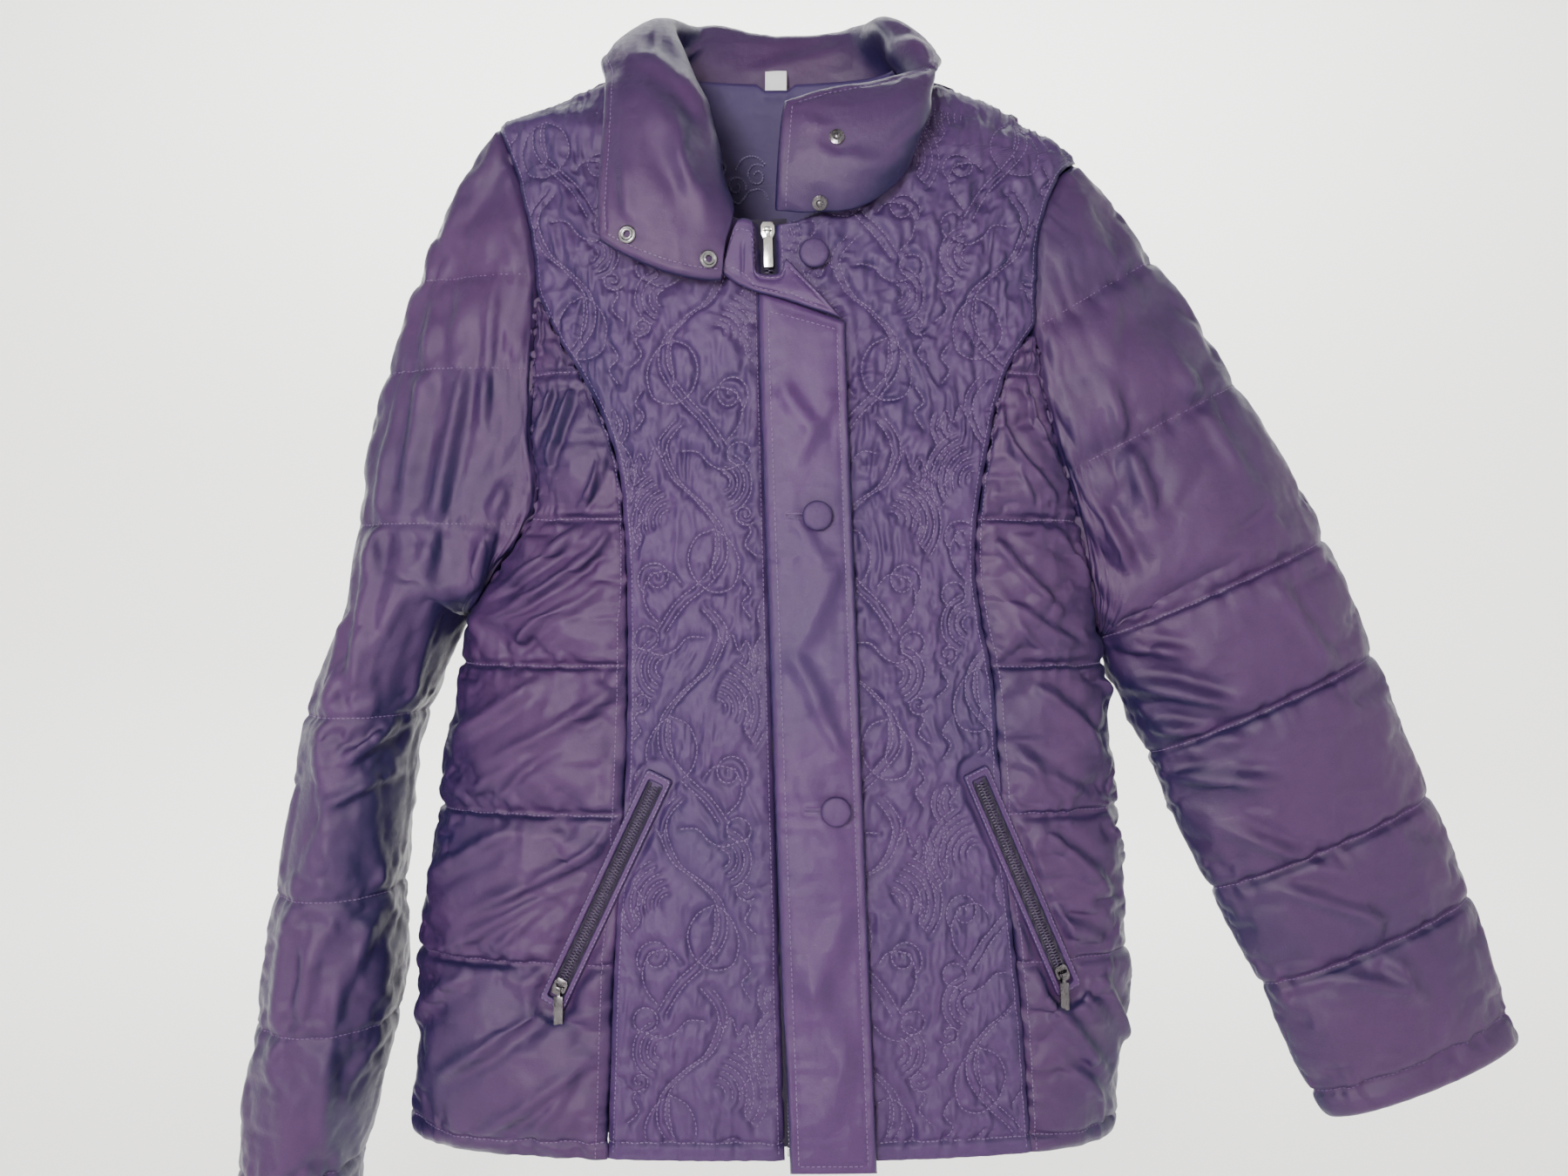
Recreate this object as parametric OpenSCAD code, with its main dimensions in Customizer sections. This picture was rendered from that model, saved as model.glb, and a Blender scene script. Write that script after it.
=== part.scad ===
// Quilted ski jacket on a hanger: padded shell, turned-open collar, zip and button flap.
// Millimetres. +Z up, the front faces -Y, the wearer's right side is at -X.
// The origin is the middle of the neck opening, on the line where a hanger carries it.

/* [Body] */
// Length from the shoulder line to the hem
body_length = 735; // [725:1:745]
// Thickness of the outer fabric
shell_t = 1.2; // [0.8:0.1:1.3]
// Thickness of the wadding
wadding_t = 4; // [3:0.5:4]
// Thickness of the lining
lining_t = 0.9; // [0.6:0.1:1.2]
// Gap left between sewn pieces
seam_gap = 0.4; // [0.3:0.1:0.6]

/* [Front closing] */
// Width of the storm flap over the zip
flap_w = 57; // [52:1:60]
// Thickness of the padded storm flap
flap_t = 4; // [3:0.5:5]
// Space between the body and the flap, for the zip slider
flap_gap = 6.2; // [6:0.2:8]
// Diameter of the covered buttons
button_d = 20; // [18:1:22]
// Pitch of the front zip's teeth
front_pitch = 5; // [4:1:6]

/* [Pockets] */
// Width of the stitched pocket edging
welt_w = 19; // [18:1:21]
// Pitch of the pocket zips' teeth
pocket_pitch = 3; // [3:1:4]

/* [Collar] */
// Thickness of the padded collar
collar_t = 6.4; // [6:0.2:7]
// Diameter of the press studs
snap_d = 12; // [11:0.5:13]

/* [Hidden] */

plum = "#58426c";
plum_dark = "#463857";
metal = "#8b8278";

hem_z = -body_length;
R = -1;   // wearer's right, at -X
L = 1;    // wearer's left, at +X
FRONT = -1;
BACK = 1;

// How far each layer lies inside the outer surface
wadding_in = shell_t + 0.3;
bag_in = wadding_in + wadding_t + 2.2;
bag_t = 1.6;
lining_in = bag_in + bag_t + 1.6;

// ---- the body's outline: [height, x] or [height, depth] ----
right_side = [[hem_z, -262], [-672, -259], [-609, -257], [-559, -252], [-522, -245], [-453, -237],
              [-428, -231], [-378, -224], [-300, -216], [-150, -208], [-60, -206], [-28, -203],
              [-19, -175], [-7, -150], [3, -123], [12, -105]];
left_side = [[hem_z, 233], [-684, 238], [-622, 243], [-590, 241], [-534, 237], [-484, 234],
             [-434, 228], [-393, 224], [-300, 219], [-150, 212], [-60, 209], [-54, 208],
             [-31, 175], [-9, 137], [2, 106], [12, 90]];
front_depths = [[hem_z, 71], [-107, 57], [-40, 46], [0, 30], [12, 24]];
back_depths = [[hem_z, 58], [-560, 54], [-400, 50], [-200, 54], [-60, 50], [0, 43], [12, 40]];
roundness = [[hem_z, 2.7], [-100, 2.5], [0, 2], [12, 2]];
right_tip = -28;
left_tip = -54;
right_pit = -377;
left_pit = -393;
right_armhole = [[-377, -224], [-341, -195], [-306, -172], [-252, -174], [-205, -173], [-151, -171],
                 [-131, -172], [-105, -177], [-79, -184], [-61, -190], [-28, -203]];
left_armhole = [[-393, 224], [-311, 206], [-287, 199], [-252, 187], [-217, 178], [-175, 173],
                [-141, 174], [-105, 178], [-78, 188], [-61, 199], [-54, 208]];
right_princess = [[hem_z, -117], [-604, -113], [-476, -106], [-400, -105], [-312, -108], [-270, -113],
                  [-241, -123], [-212, -138], [-187, -154], [-151, -171]];
left_princess = [[hem_z, 166], [-626, 158], [-570, 152], [-458, 144], [-419, 141], [-371, 132],
                 [-340, 129], [-306, 131], [-270, 137], [-235, 144], [-207, 153], [-175, 173]];
right_neckline = [[-112, -20], [-104, -40], [-90, -60], [-60, -88], [-30, -105], [3, -122]];
left_neckline = [[-112, 0], [-104, 22], [-88, 48], [-60, 74], [-30, 92], [2, 105]];
right_princess_top = -151;
left_princess_top = -175;

// ---- small functions ----
function unit(v) = v / norm(v);
function flat(rows) = [for (r = rows) for (p = r) p];
function bezier(p, t) = pow(1 - t, 3) * p[0] + 3 * t * pow(1 - t, 2) * p[1]
                        + 3 * t * t * (1 - t) * p[2] + pow(t, 3) * p[3];
function steps(a, b, n) = [for (i = [0:n]) a + (b - a) * i / n];

// ---- the body's surface ----
function side_x(s, z) = lookup(z, s == R ? right_side : left_side);
function middle_x(z) = (side_x(R, z) + side_x(L, z)) / 2;
function half_w(z) = (side_x(L, z) - side_x(R, z)) / 2;
function depth(face, z) = lookup(z, face == FRONT ? front_depths : back_depths);
function angle_at(x, z) = let (t = max(-1, min(1, (x - middle_x(z)) / half_w(z))))
    sign(t) * asin(pow(abs(t), lookup(z, roundness) / 2));
function body_point(face, angle, z, inset) = let (e = 2 / lookup(z, roundness), s = sin(angle))
    [middle_x(z) + (half_w(z) - inset) * sign(s) * pow(abs(s), e),
     face * (depth(face, z) - inset) * pow(max(0, cos(angle)), e), z];
function surface_y(face, x, z) = body_point(face, angle_at(x, z), z, 0)[1];
function inward(x, z) = let (d = 4)
    unit([-(surface_y(FRONT, x + d, z) - surface_y(FRONT, x - d, z)) / (2 * d), 1,
          -(surface_y(FRONT, x, z + d) - surface_y(FRONT, x, z - d)) / (2 * d)]);

// ---- where the pieces end ----
function tip_z(s) = s == R ? right_tip : left_tip;
function pit_z(s) = s == R ? right_pit : left_pit;
function armhole_x(s, z) = lookup(z, s == R ? right_armhole : left_armhole);
function outer_x(s, z) = z > pit_z(s) && z < tip_z(s) ? armhole_x(s, z) : side_x(s, z);
function zip_x(z) = -11 + 17 * (-115 - z) / 620;
function front_edge_x(s, z, gap) = z < -112 ? zip_x(z) + s * gap
    : lookup(z, s == R ? right_neckline : left_neckline) + s * (gap - 7);
function princess_x(s, z) = z < (s == R ? right_princess_top : left_princess_top)
    ? lookup(z, s == R ? right_princess : left_princess) : outer_x(s, z);

low_rows = [hem_z, -700, -660, -609, -559, -508, -458, -425, -393, -377, -360, -341, -325, -306,
            -287, -270, -252, -230, -212, -187];
quilted_rows = concat(low_rows, [-170, -151, -131, -112, -104, -90, -78, -61, -54, -45, -36, -28,
                                 -19, -9, -2]);
side_rows_right = concat(low_rows, [-172, -159]);
side_rows_left = low_rows;
yoke_rows = [-150, -131, -105, -79, -61, -54, -45, -36, -28, -19, -9, 0, 6, 12];
back_rows = concat(low_rows, [-170, -151]);
lining_rows = [hem_z + 12, -690, -625, -559, -493, -427, -393, -377, -341, -306, -270, -235, -200,
               -165, -131, -112, -104, -90, -61, -54, -28, -15];

// A padded or plain sheet between two grids of points; wrap joins its first and last columns
module sheet(outer, inner, wrap = false) {
    m = len(outer);
    n = len(outer[0]);
    cols = wrap ? n : n - 1;
    function at(i, j) = i * n + j % n;
    function back(i, j) = m * n + at(i, j);
    face_out = [for (i = [0:m - 2]) for (j = [0:cols - 1])
        each [[at(i, j), at(i + 1, j), at(i + 1, j + 1)], [at(i, j), at(i + 1, j + 1), at(i, j + 1)]]];
    face_in = [for (i = [0:m - 2]) for (j = [0:cols - 1])
        each [[back(i, j), back(i + 1, j + 1), back(i + 1, j)],
              [back(i, j), back(i, j + 1), back(i + 1, j + 1)]]];
    ends = [for (j = [0:cols - 1])
        each [[at(0, j), at(0, j + 1), back(0, j + 1)], [at(0, j), back(0, j + 1), back(0, j)],
              [at(m - 1, j), back(m - 1, j + 1), at(m - 1, j + 1)],
              [at(m - 1, j), back(m - 1, j), back(m - 1, j + 1)]]];
    sides = wrap ? [] : [for (i = [0:m - 2])
        each [[at(i, 0), back(i + 1, 0), at(i + 1, 0)], [at(i, 0), back(i, 0), back(i + 1, 0)],
              [at(i, n - 1), at(i + 1, n - 1), back(i + 1, n - 1)],
              [at(i, n - 1), back(i + 1, n - 1), back(i, n - 1)]]];
    polyhedron(points = concat(flat(inner), flat(outer)),
               faces = concat(face_out, face_in, ends, sides));
}

// One row of a body panel, from x0 to x1 at height z
function panel_row(face, x0, x1, z, inset, n) =
    let (a0 = angle_at(x0, z), a1 = angle_at(x1, z))
    [for (a = steps(a0, a1, n)) body_point(face, a, z, inset)];
function ordered(a, b) = a < b ? [a, b] : [b, a];
function panel_grid(face, rows, from_x, to_x, inset, n) = [for (z = rows)
    let (e = ordered(from_x(z), to_x(z))) panel_row(face, e[0] + seam_gap, e[1] - seam_gap, z, inset, n)];
module panel(face, rows, from_x, to_x, inset, t, n) {
    outer = panel_grid(face, rows, from_x, to_x, inset, n);
    inner = panel_grid(face, rows, from_x, to_x, inset + t, n);
    if (face == FRONT) sheet(inner, outer);
    else sheet(outer, inner);
}

module quilted_front(s, inset, t, gap)
    difference() {
        panel(FRONT, quilted_rows, function (z) front_edge_x(s, z, gap), function (z) princess_x(s, z),
              inset, t, 6);
        pocket_slot(s);
    }
module side_front(s, inset, t)
    difference() {
        panel(FRONT, s == R ? side_rows_right : side_rows_left, function (z) princess_x(s, z),
              function (z) outer_x(s, z), inset, t, 5);
        pocket_slot(s);
    }
module back_panel(rows, inset, t)
    panel(BACK, rows, function (z) outer_x(R, z), function (z) outer_x(L, z), inset, t, 12);
module front_lining(s)
    panel(FRONT, lining_rows, function (z) front_edge_x(s, z, 16), function (z) outer_x(s, z),
          lining_in, lining_t, 7);
module lining_back()
    panel(BACK, [for (z = lining_rows) if (z < -85) z], function (z) outer_x(R, z),
          function (z) outer_x(L, z), lining_in, lining_t, 10);
module neck_facing()
    panel(BACK, [-89, -75, -61, -54, -28, -15, 0, 12], function (z) outer_x(R, z),
          function (z) outer_x(L, z), lining_in, lining_t, 10);

// ---- sleeves: [centre x, centre z, half width, half depth, tilt from vertical] ----
right_rings = [[-266, -368, 40, 62, 12], [-298, -449, 38, 62, 9], [-306, -506, 39, 60, 8],
               [-316, -570, 42, 57, 7], [-322, -640, 47, 54, 8], [-334, -704, 45, 52, 9],
               [-345, -763, 41, 50, 6], [-347, -791, 40, 50, 3]];
left_rings = [[305, -357, 89, 34, 24], [341, -439, 88, 30, 24], [384, -538, 85, 27, 23.5],
              [417, -608, 81, 25, 23.5], [448, -688, 76, 24, 23], [459, -707, 74, 24, 22.5]];
right_bulge = 46;
left_bulge = 18;
cuff_hem = 19;
armhole_gap = 2;
sleeve_cols = 22;
function rings(s) = s == R ? right_rings : left_rings;
function armhole_point(s, a, inset) =
    let (v = (1 - sin(a)) / 2, z = tip_z(s) + v * (pit_z(s) - tip_z(s)),
         face = cos(a) < 0 ? FRONT : BACK,
         p = body_point(face, angle_at(armhole_x(s, z), z), z, inset))
    [p[0] + s * armhole_gap, p[1], z - inset * sin(a)];
function ring_point(s, r, a, inset) =
    let (out = [s * cos(r[4]), 0, sin(r[4])])
    [r[0], 0, r[1]] + (r[2] - inset) * sin(a) * out + [0, (r[3] - inset) * cos(a), 0];
function head_point(s, a, t, inset) =
    let (p = armhole_point(s, a, inset), q = ring_point(s, rings(s)[0], a, inset),
         c = (p + q) / 2 + (s == R ? right_bulge : left_bulge) * max(0, sin(a)) * [s * 0.9, 0, 0.43])
    pow(1 - t, 2) * p + 2 * t * (1 - t) * c + t * t * q;
all_round = [for (j = [0:sleeve_cols - 1]) 90 + 360 * j / sleeve_cols];
seam_turn = 0.6;
// The angles round one half of a sleeve, from its outer seam to its inner one, or back
function half_angles(face) = let (a = face == FRONT ? 90 : 270)
    steps(a + seam_turn, a + 180 - seam_turn, sleeve_cols / 2);
// cut shortens the sleeve's last ring towards the one before it, in shares of the gap
function sleeve_grid(s, inset, cut, angles) = let (r = rings(s), k = len(r) - 1) concat(
    [for (t = [0, 0.14, 0.3, 0.46, 0.62, 0.8]) [for (a = angles) head_point(s, a, t, inset)]],
    [for (i = [0:k - 1]) [for (a = angles) ring_point(s, r[i], a, inset)]],
    [[for (a = angles) ring_point(s, r[k] + (r[k - 1] - r[k]) * cut, a, inset)]]);
module sleeve(s, inset, t, cut, angles, wrap) {
    outer = sleeve_grid(s, inset, cut, angles);
    inner = sleeve_grid(s, inset + t, cut, angles);
    if (s == R) sheet(outer, inner, wrap);
    else sheet(inner, outer, wrap);
}
module sleeve_half(s, face) sleeve(s, 0, shell_t, 0, half_angles(face), false);
module sleeve_tube(s, inset, t, cut) sleeve(s, inset, t, cut, all_round, true);
// The turned hem inside the end of the sleeve
module cuff(s) {
    r = rings(s);
    k = len(r) - 1;
    along = norm([r[k][0] - r[k - 1][0], r[k][1] - r[k - 1][1]]);
    cut = cuff_hem / along;
    function band(inset) = [for (c = [min(cut, 0.98), 0.02])
        [for (a = all_round) ring_point(s, r[k] + (r[k - 1] - r[k]) * c, a, inset)]];
    if (s == R) sheet(band(lining_in + lining_t + 0.4), band(lining_in + lining_t + 1.6), true);
    else sheet(band(lining_in + lining_t + 1.6), band(lining_in + lining_t + 0.4), true);
}

// ---- collar: Bezier profiles from the neck seam to the free edge, right front round to left ----
collar_profiles = [
    [[-34, -68, -152], [-60, -78, -158], [-92, -82, -148], [-122, -72, -127]],
    [[-33, -66, -128], [-55, -82, -130], [-92, -86, -120], [-123, -71, -100]],
    [[-33, -58, -106], [-40, -82, -98], [-88, -88, -88], [-122, -66, -72]],
    [[-60, -48, -84], [-24, -50, -52], [-78, -90, -46], [-121, -58, -42]],
    [[-90, -34, -50], [-36, -28, -8], [-80, -68, 0], [-122, -44, -12]],
    [[-113, -2, 8], [-50, 2, 50], [-96, -22, 54], [-126, -10, 15]],
    [[-92, 30, 16], [-50, 30, 62], [-72, 42, 78], [-92, 48, 36]],
    [[-50, 42, 18], [-44, 40, 58], [-48, 52, 82], [-56, 64, 52]],
    [[-8, 45, 18], [-8, 42, 52], [-6, 54, 74], [-6, 66, 48]],
    [[34, 43, 18], [34, 40, 52], [38, 54, 78], [44, 64, 50]],
    [[74, 29, 16], [46, 30, 56], [60, 36, 80], [78, 46, 38]],
    [[96, 0, 10], [48, 2, 48], [76, -4, 68], [106, -10, 14]],
    [[91, -27, -23], [80, -36, -2], [94, -44, 22], [107, -32, 4]],
    [[83, -44, -54], [90, -68, -44], [102, -70, -14], [98, -48, -4]],
    [[76, -54, -82], [84, -84, -68], [88, -82, -26], [80, -58, -13]],
    [[49, -60, -106], [58, -90, -92], [60, -86, -36], [56, -64, -21]],
    [[20, -62, -111], [24, -86, -98], [26, -86, -44], [26, -68, -27]],
    [[-6, -62, -109], [-6, -76, -98], [-3, -80, -50], [0, -68, -35]]];
collar_start = 0.1;
collar_steps = 9;
function collar_mid(i, v) = let (a = floor(i), b = min(a + 1, len(collar_profiles) - 1))
    bezier(collar_profiles[a], v) * (1 - i + a) + bezier(collar_profiles[b], v) * (i - a);
function collar_normal(i, v) =
    let (a = max(0, i - 1), b = min(len(collar_profiles) - 1, i + 1), d = 0.02,
         along = collar_mid(b, v) - collar_mid(a, v),
         up = collar_mid(i, min(1, v + d)) - collar_mid(i, v - d))
    unit(cross(along, up));
function collar_grid(offset) = [for (i = [0:len(collar_profiles) - 1])
    [for (v = steps(collar_start, 1, collar_steps)) collar_mid(i, v) + offset * collar_normal(i, v)]];
module collar_layer(from, to) sheet(collar_grid(to), collar_grid(from));

// ---- storm flap and buttons ----
flap_rows = [hem_z - 5, -700, -640, -580, -520, -460, -400, -340, -280, -220, -185];
function flap_left(z) = -16 + 20 * (-190 - z) / 550;
function flap_point(x, z, off) = [x, surface_y(FRONT, x, max(z, hem_z)) - off, z];
function flap_grid(off) = [for (z = flap_rows) [for (u = steps(0, 1, 5))
    flap_point(flap_left(z) + u * flap_w, z == flap_rows[10] ? z + 14 - 22 * u : z, off)]];
// [x, z] of the buttons that hold the flap, and of the free one above it
button_at = [[22, -309], [34, -503]];
free_button = [20, -133];
module flap_sheet() difference() {
    sheet(flap_grid(flap_gap), flap_grid(flap_gap + flap_t));
    for (b = button_at)
        translate([b[0] - 20, -120, b[1] - 2]) cube([23, 80, 4]);
}
// The top of the flap, folded back towards the wearer's right
module turned_top() {
    edge = [[-42, -146], [-30, -110], [-14, -112], [0, -134],
        [28, -166], [38, -178], [8, -168], [-20, -160]];
    translate([0, surface_y(FRONT, 0, -140) - 9.4, 0]) rotate([90, 0, 0])
        difference() {
            linear_extrude(2.4) polygon(edge);
            translate([-29, -148, -1]) cube([3, 20, 5]);
            translate([-19, -146, -1]) cube([18, 60, 5]);
        }
}
module facing(x, z, off) translate([x, surface_y(FRONT, x, z) - off, z]) rotate([90, 0, 0]) children();
module button_head() rotate_extrude($fn = 40)
    polygon(concat([[0, 0], [button_d / 2 - 2, 0]],
        [for (a = [-60:15:90]) [button_d / 2 - 2.4 + 2.4 * cos(a), 2.1 + 2.1 * sin(a)]],
        [[button_d / 4, 4.9], [0, 5.2]]));
module button_heads() {
    for (b = button_at) facing(b[0], b[1], flap_gap + flap_t + 1.2) button_head();
    facing(free_button[0], free_button[1], 1.5) button_head();
}
module threads() {
    for (b = button_at) facing(b[0], b[1], 0.6) cylinder(r = 1.3, h = flap_gap + flap_t + 0.5, $fn = 24);
    facing(free_button[0], free_button[1], 0.6) cylinder(r = 1.3, h = 0.8, $fn = 24);
}

// ---- press studs: [profile, share of the profile] ----
function snap_frame(i, v) =
    let (n = collar_normal(i, v), up = unit(collar_mid(i, v + 0.02) - collar_mid(i, v)),
         side = cross(up, n), p = collar_mid(i, v))
    [[side[0], up[0], n[0], p[0]], [side[1], up[1], n[1], p[1]], [side[2], up[2], n[2], p[2]]];
stud_at = [[15.95, 0.17], [15.7, 0.55]];
ring_profile = [[2.2, 0], [6, 0], [6, 0.8], [5.2, 1.6], [4.2, 1.6], [3.6, 0.9], [2.6, 0.9], [2.2, 1.2]];
module socket(i, v) multmatrix(snap_frame(i, v))
    translate([0, 0, collar_t / 2 + 0.4])
        rotate_extrude($fn = 24) polygon([for (q = ring_profile) [q[0] * snap_d / 12, q[1]]]);
// The studs are on the collar's other side, so that they meet the sockets when it is closed
module stud(i, v) multmatrix(snap_frame(i, v)) mirror([0, 0, 1])
    translate([0, 0, collar_t / 2 + 0.9])
        rotate_extrude($fn = 24) polygon([[0, 0], [5, 0], [5, 0.8], [2.4, 1], [1.9, 1.8],
            [2.1, 2.6], [1.2, 3.2], [0, 3.3]] * snap_d / 12);

// ---- zips ----
module in_frame(low, high, inner) {
    zz = unit(high - low);
    xx = unit(cross(inner, zz));
    yy = cross(zz, xx);
    multmatrix([[xx[0], yy[0], zz[0], low[0]], [xx[1], yy[1], zz[1], low[1]],
                [xx[2], yy[2], zz[2], low[2]]]) children();
}
slit = 0.7;
tooth_reach = 2.6;
// One row of teeth on a bar, along +Z, on side s of the slit
module teeth(s, length, pitch) {
    n = floor(length / pitch);
    outline = concat([[tooth_reach, 0]],
        [for (i = [0:n - 1]) each [[tooth_reach - 0.5, i * pitch], [slit, i * pitch],
            [slit, (i + 0.55) * pitch], [tooth_reach - 0.5, (i + 0.55) * pitch]]],
        [[tooth_reach - 0.5, n * pitch], [tooth_reach, n * pitch]]);
    rotate([90, 0, 0]) translate([0, 0, -1.1]) linear_extrude(2.2)
        polygon([for (q = outline) [s * q[0], q[1]]]);
}
module tapes(length, width) for (s = [R, L])
    translate([s > 0 ? tooth_reach + 0.1 : -width, -0.35, 0]) cube([width - tooth_reach - 0.1, 0.7, length]);
bar_y = -5;
bar_r = 0.7;
// Slider: two plates joined by a thin post, with the bridge that carries the pull
module slider() {
    plate = [[-3, -5.5], [3, -5.5], [4.6, -2], [4.6, 3],
        [3.2, 5.5], [-3.2, 5.5], [-4.6, 3], [-4.6, -2]];
    for (y = [-1.5, 2.7]) translate([0, y, 0]) rotate([90, 0, 0]) linear_extrude(1.2) polygon(plate);
    translate([-0.4, -1.6, 2]) cube([0.8, 3.2, 3]);
    for (x = [-3.1, 2.1]) translate([x, bar_y - 0.8, -0.8]) cube([1, 3.2, 2.4]);
    translate([-3.1, bar_y, 0]) rotate([0, 90, 0]) cylinder(r = bar_r, h = 6.2, $fn = 24);
}
// Pull tab: an eye round the bridge and a flat tab that hangs at an angle to the track
module pull(length, hang) {
    difference() {
        union() {
            translate([-1.7, bar_y, 0]) rotate([0, 90, 0]) cylinder(r = 1.7, h = 3.4, $fn = 28);
            rotate([0, hang, 0]) translate([-1.2, bar_y - 0.6, -6]) cube([2.4, 1.2, 5]);
        }
        translate([-4, bar_y, 0]) rotate([0, 90, 0]) cylinder(r = 0.95, h = 8, $fn = 28);
    }
    rotate([0, hang, 0]) translate([-3, bar_y - 0.8, -length]) cube([6, 1.6, length - 5.6]);
}
tape_depth = 2;
front_low = [zip_x(hem_z + 8), surface_y(FRONT, zip_x(hem_z), hem_z + 8) + tape_depth, hem_z + 8];
front_high = [zip_x(-108), surface_y(FRONT, zip_x(-108), -108) + tape_depth, -108];
front_zip_l = norm(front_high - front_low);
slider_top = front_zip_l - 8;
module front_frame() in_frame(front_low, front_high, [0, 1, 0]) children();
module bottom_box() difference() {
    translate([-3.6, -1.9, -6]) cube([7.2, 3.8, 5.8]);
    translate([-0.3, -3, -4]) cube([0.6, 6, 5]);
}

// ---- pockets: a slanting welt with a zip, and the bag behind it ----
function pocket_low(s) = s == R ? [-152, -628] : [190, -622];
function pocket_high(s) = s == R ? [-86, -488] : [131, -486];
pocket_proud = 1.2;
function on_body(s, q) = let (n = (inward(pocket_low(s)[0], pocket_low(s)[1])
        + inward(pocket_high(s)[0], pocket_high(s)[1])) / 2)
    [q[0], surface_y(FRONT, q[0], q[1]), q[1]] - unit(n) * (pocket_proud - tape_depth);
function pocket_l(s) = norm(on_body(s, pocket_high(s)) - on_body(s, pocket_low(s)));
module pocket_frame(s) in_frame(on_body(s, pocket_low(s)), on_body(s, pocket_high(s)),
    inward(pocket_low(s)[0], pocket_low(s)[1]) + inward(pocket_high(s)[0], pocket_high(s)[1])) children();
module pocket_slot(s) pocket_frame(s)
    translate([-welt_w / 2 - 1, -12, -9]) cube([welt_w + 2, 24, pocket_l(s) + 18]);
module pocket_welt(s) pocket_frame(s) difference() {
    translate([-welt_w / 2, -tape_depth, -8]) cube([welt_w, 1.2, pocket_l(s) + 16]);
    translate([-5.2, -tape_depth - 1, -7]) cube([10.4, 4, pocket_l(s) + 14]);
}
module pocket_bag(s) {
    x = s == R ? [-212, -88] : [120, 212];
    rows = [-700, -660, -609, -559, -508, -475];
    grid = function (inset) [for (z = rows) panel_row(FRONT, x[0], x[1], z, inset, 10)];
    sheet(grid(bag_in + bag_t), grid(bag_in));
}
module pocket_piece(s, what) pocket_frame(s) {
    if (what == "tapes") tapes(pocket_l(s), 8.5);
    if (what == "teeth") for (k = [R, L]) teeth(k, pocket_l(s), pocket_pitch);
    if (what == "slider") translate([0, 0, 5.5]) slider();
    if (what == "pull") translate([0, 0, 5.5])
        pull(24, s * atan(abs(pocket_high(s)[0] - pocket_low(s)[0]) / 138));
}

// ---- labels ----
label_w = 16;
label_h = 18;
label_root = [-6, 30.4, 12.6];
label_lean = 25;
module label() translate(label_root) rotate([-label_lean, 0, 0])
    translate([-label_w / 2, -0.3, 0]) cube([label_w, 0.6, label_h]);

// ---- one module per sub-part ----
module right_quilted_front_shell() color(plum) quilted_front(R, 0, shell_t, 7);
module right_side_front_shell() color(plum) side_front(R, 0, shell_t);
module left_quilted_front_shell() color(plum) quilted_front(L, 0, shell_t, 7);
module left_side_front_shell() color(plum) side_front(L, 0, shell_t);
module back_yoke_shell() color(plum) back_panel(yoke_rows, 0, shell_t);
module back_body_shell() color(plum) back_panel(back_rows, 0, shell_t);
module right_quilted_front_wadding() color("white") quilted_front(R, wadding_in, wadding_t, 17);
module right_side_front_wadding() color("white") side_front(R, wadding_in, wadding_t);
module left_quilted_front_wadding() color("white") quilted_front(L, wadding_in, wadding_t, 17);
module left_side_front_wadding() color("white") side_front(L, wadding_in, wadding_t);
module back_yoke_wadding() color("white") back_panel(yoke_rows, wadding_in, wadding_t);
module back_body_wadding() color("white") back_panel(back_rows, wadding_in, wadding_t);
module right_front_lining() color(plum_dark) front_lining(R);
module left_front_lining() color(plum_dark) front_lining(L);
module back_lining() color(plum_dark) lining_back();
module back_neck_facing() color(plum_dark) neck_facing();
module right_sleeve_front_shell() color(plum) sleeve_half(R, FRONT);
module right_sleeve_back_shell() color(plum) sleeve_half(R, BACK);
module right_sleeve_wadding() color("white") sleeve_tube(R, wadding_in, wadding_t, 0.3);
module right_sleeve_lining() color(plum_dark) sleeve_tube(R, lining_in, lining_t, 0.1);
module right_cuff_hem() color(plum) cuff(R);
module left_sleeve_front_shell() color(plum) sleeve_half(L, FRONT);
module left_sleeve_back_shell() color(plum) sleeve_half(L, BACK);
module left_sleeve_wadding() color("white") sleeve_tube(L, wadding_in, wadding_t, 0.3);
module left_sleeve_lining() color(plum_dark) sleeve_tube(L, lining_in, lining_t, 0.1);
module left_cuff_hem() color(plum) cuff(L);
module collar_shell() color(plum) collar_layer(-collar_t / 2, -collar_t / 2 + shell_t);
module collar_wadding() color("white") collar_layer(-collar_t / 2 + shell_t + 0.3, collar_t / 2 - 1.3);
module collar_facing() color(plum) collar_layer(collar_t / 2 - 1, collar_t / 2);
module storm_flap() color(plum) flap_sheet();
module storm_flap_turned_top() color(plum) turned_top();
module covered_buttons() color(plum) button_heads();
module button_threads() color(plum_dark) threads();
module collar_snap_sockets() color(metal) for (v = [0.22, 0.78]) socket(0.5, v);
module collar_snap_studs() color(metal) for (q = stud_at) stud(q[0], q[1]);
module front_zip_tapes() color(plum_dark) front_frame() tapes(front_zip_l, 13);
module front_zip_teeth() color(plum_dark)
    front_frame() for (s = [R, L]) teeth(s, front_zip_l - 6, front_pitch);
module front_zip_slider() color(metal) front_frame() translate([0, 0, slider_top]) slider();
module front_zip_pull() color(metal) front_frame() translate([0, 0, slider_top]) pull(26, 0);
module front_zip_bottom_box() color(metal) front_frame() bottom_box();
module right_pocket_welt() color(plum) pocket_welt(R);
module right_pocket_zip_tapes() color(plum_dark) pocket_piece(R, "tapes");
module right_pocket_zip_teeth() color(plum_dark) pocket_piece(R, "teeth");
module right_pocket_zip_slider() color(metal) pocket_piece(R, "slider");
module right_pocket_zip_pull() color(metal) pocket_piece(R, "pull");
module right_pocket_bag() color(plum_dark) pocket_bag(R);
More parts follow.
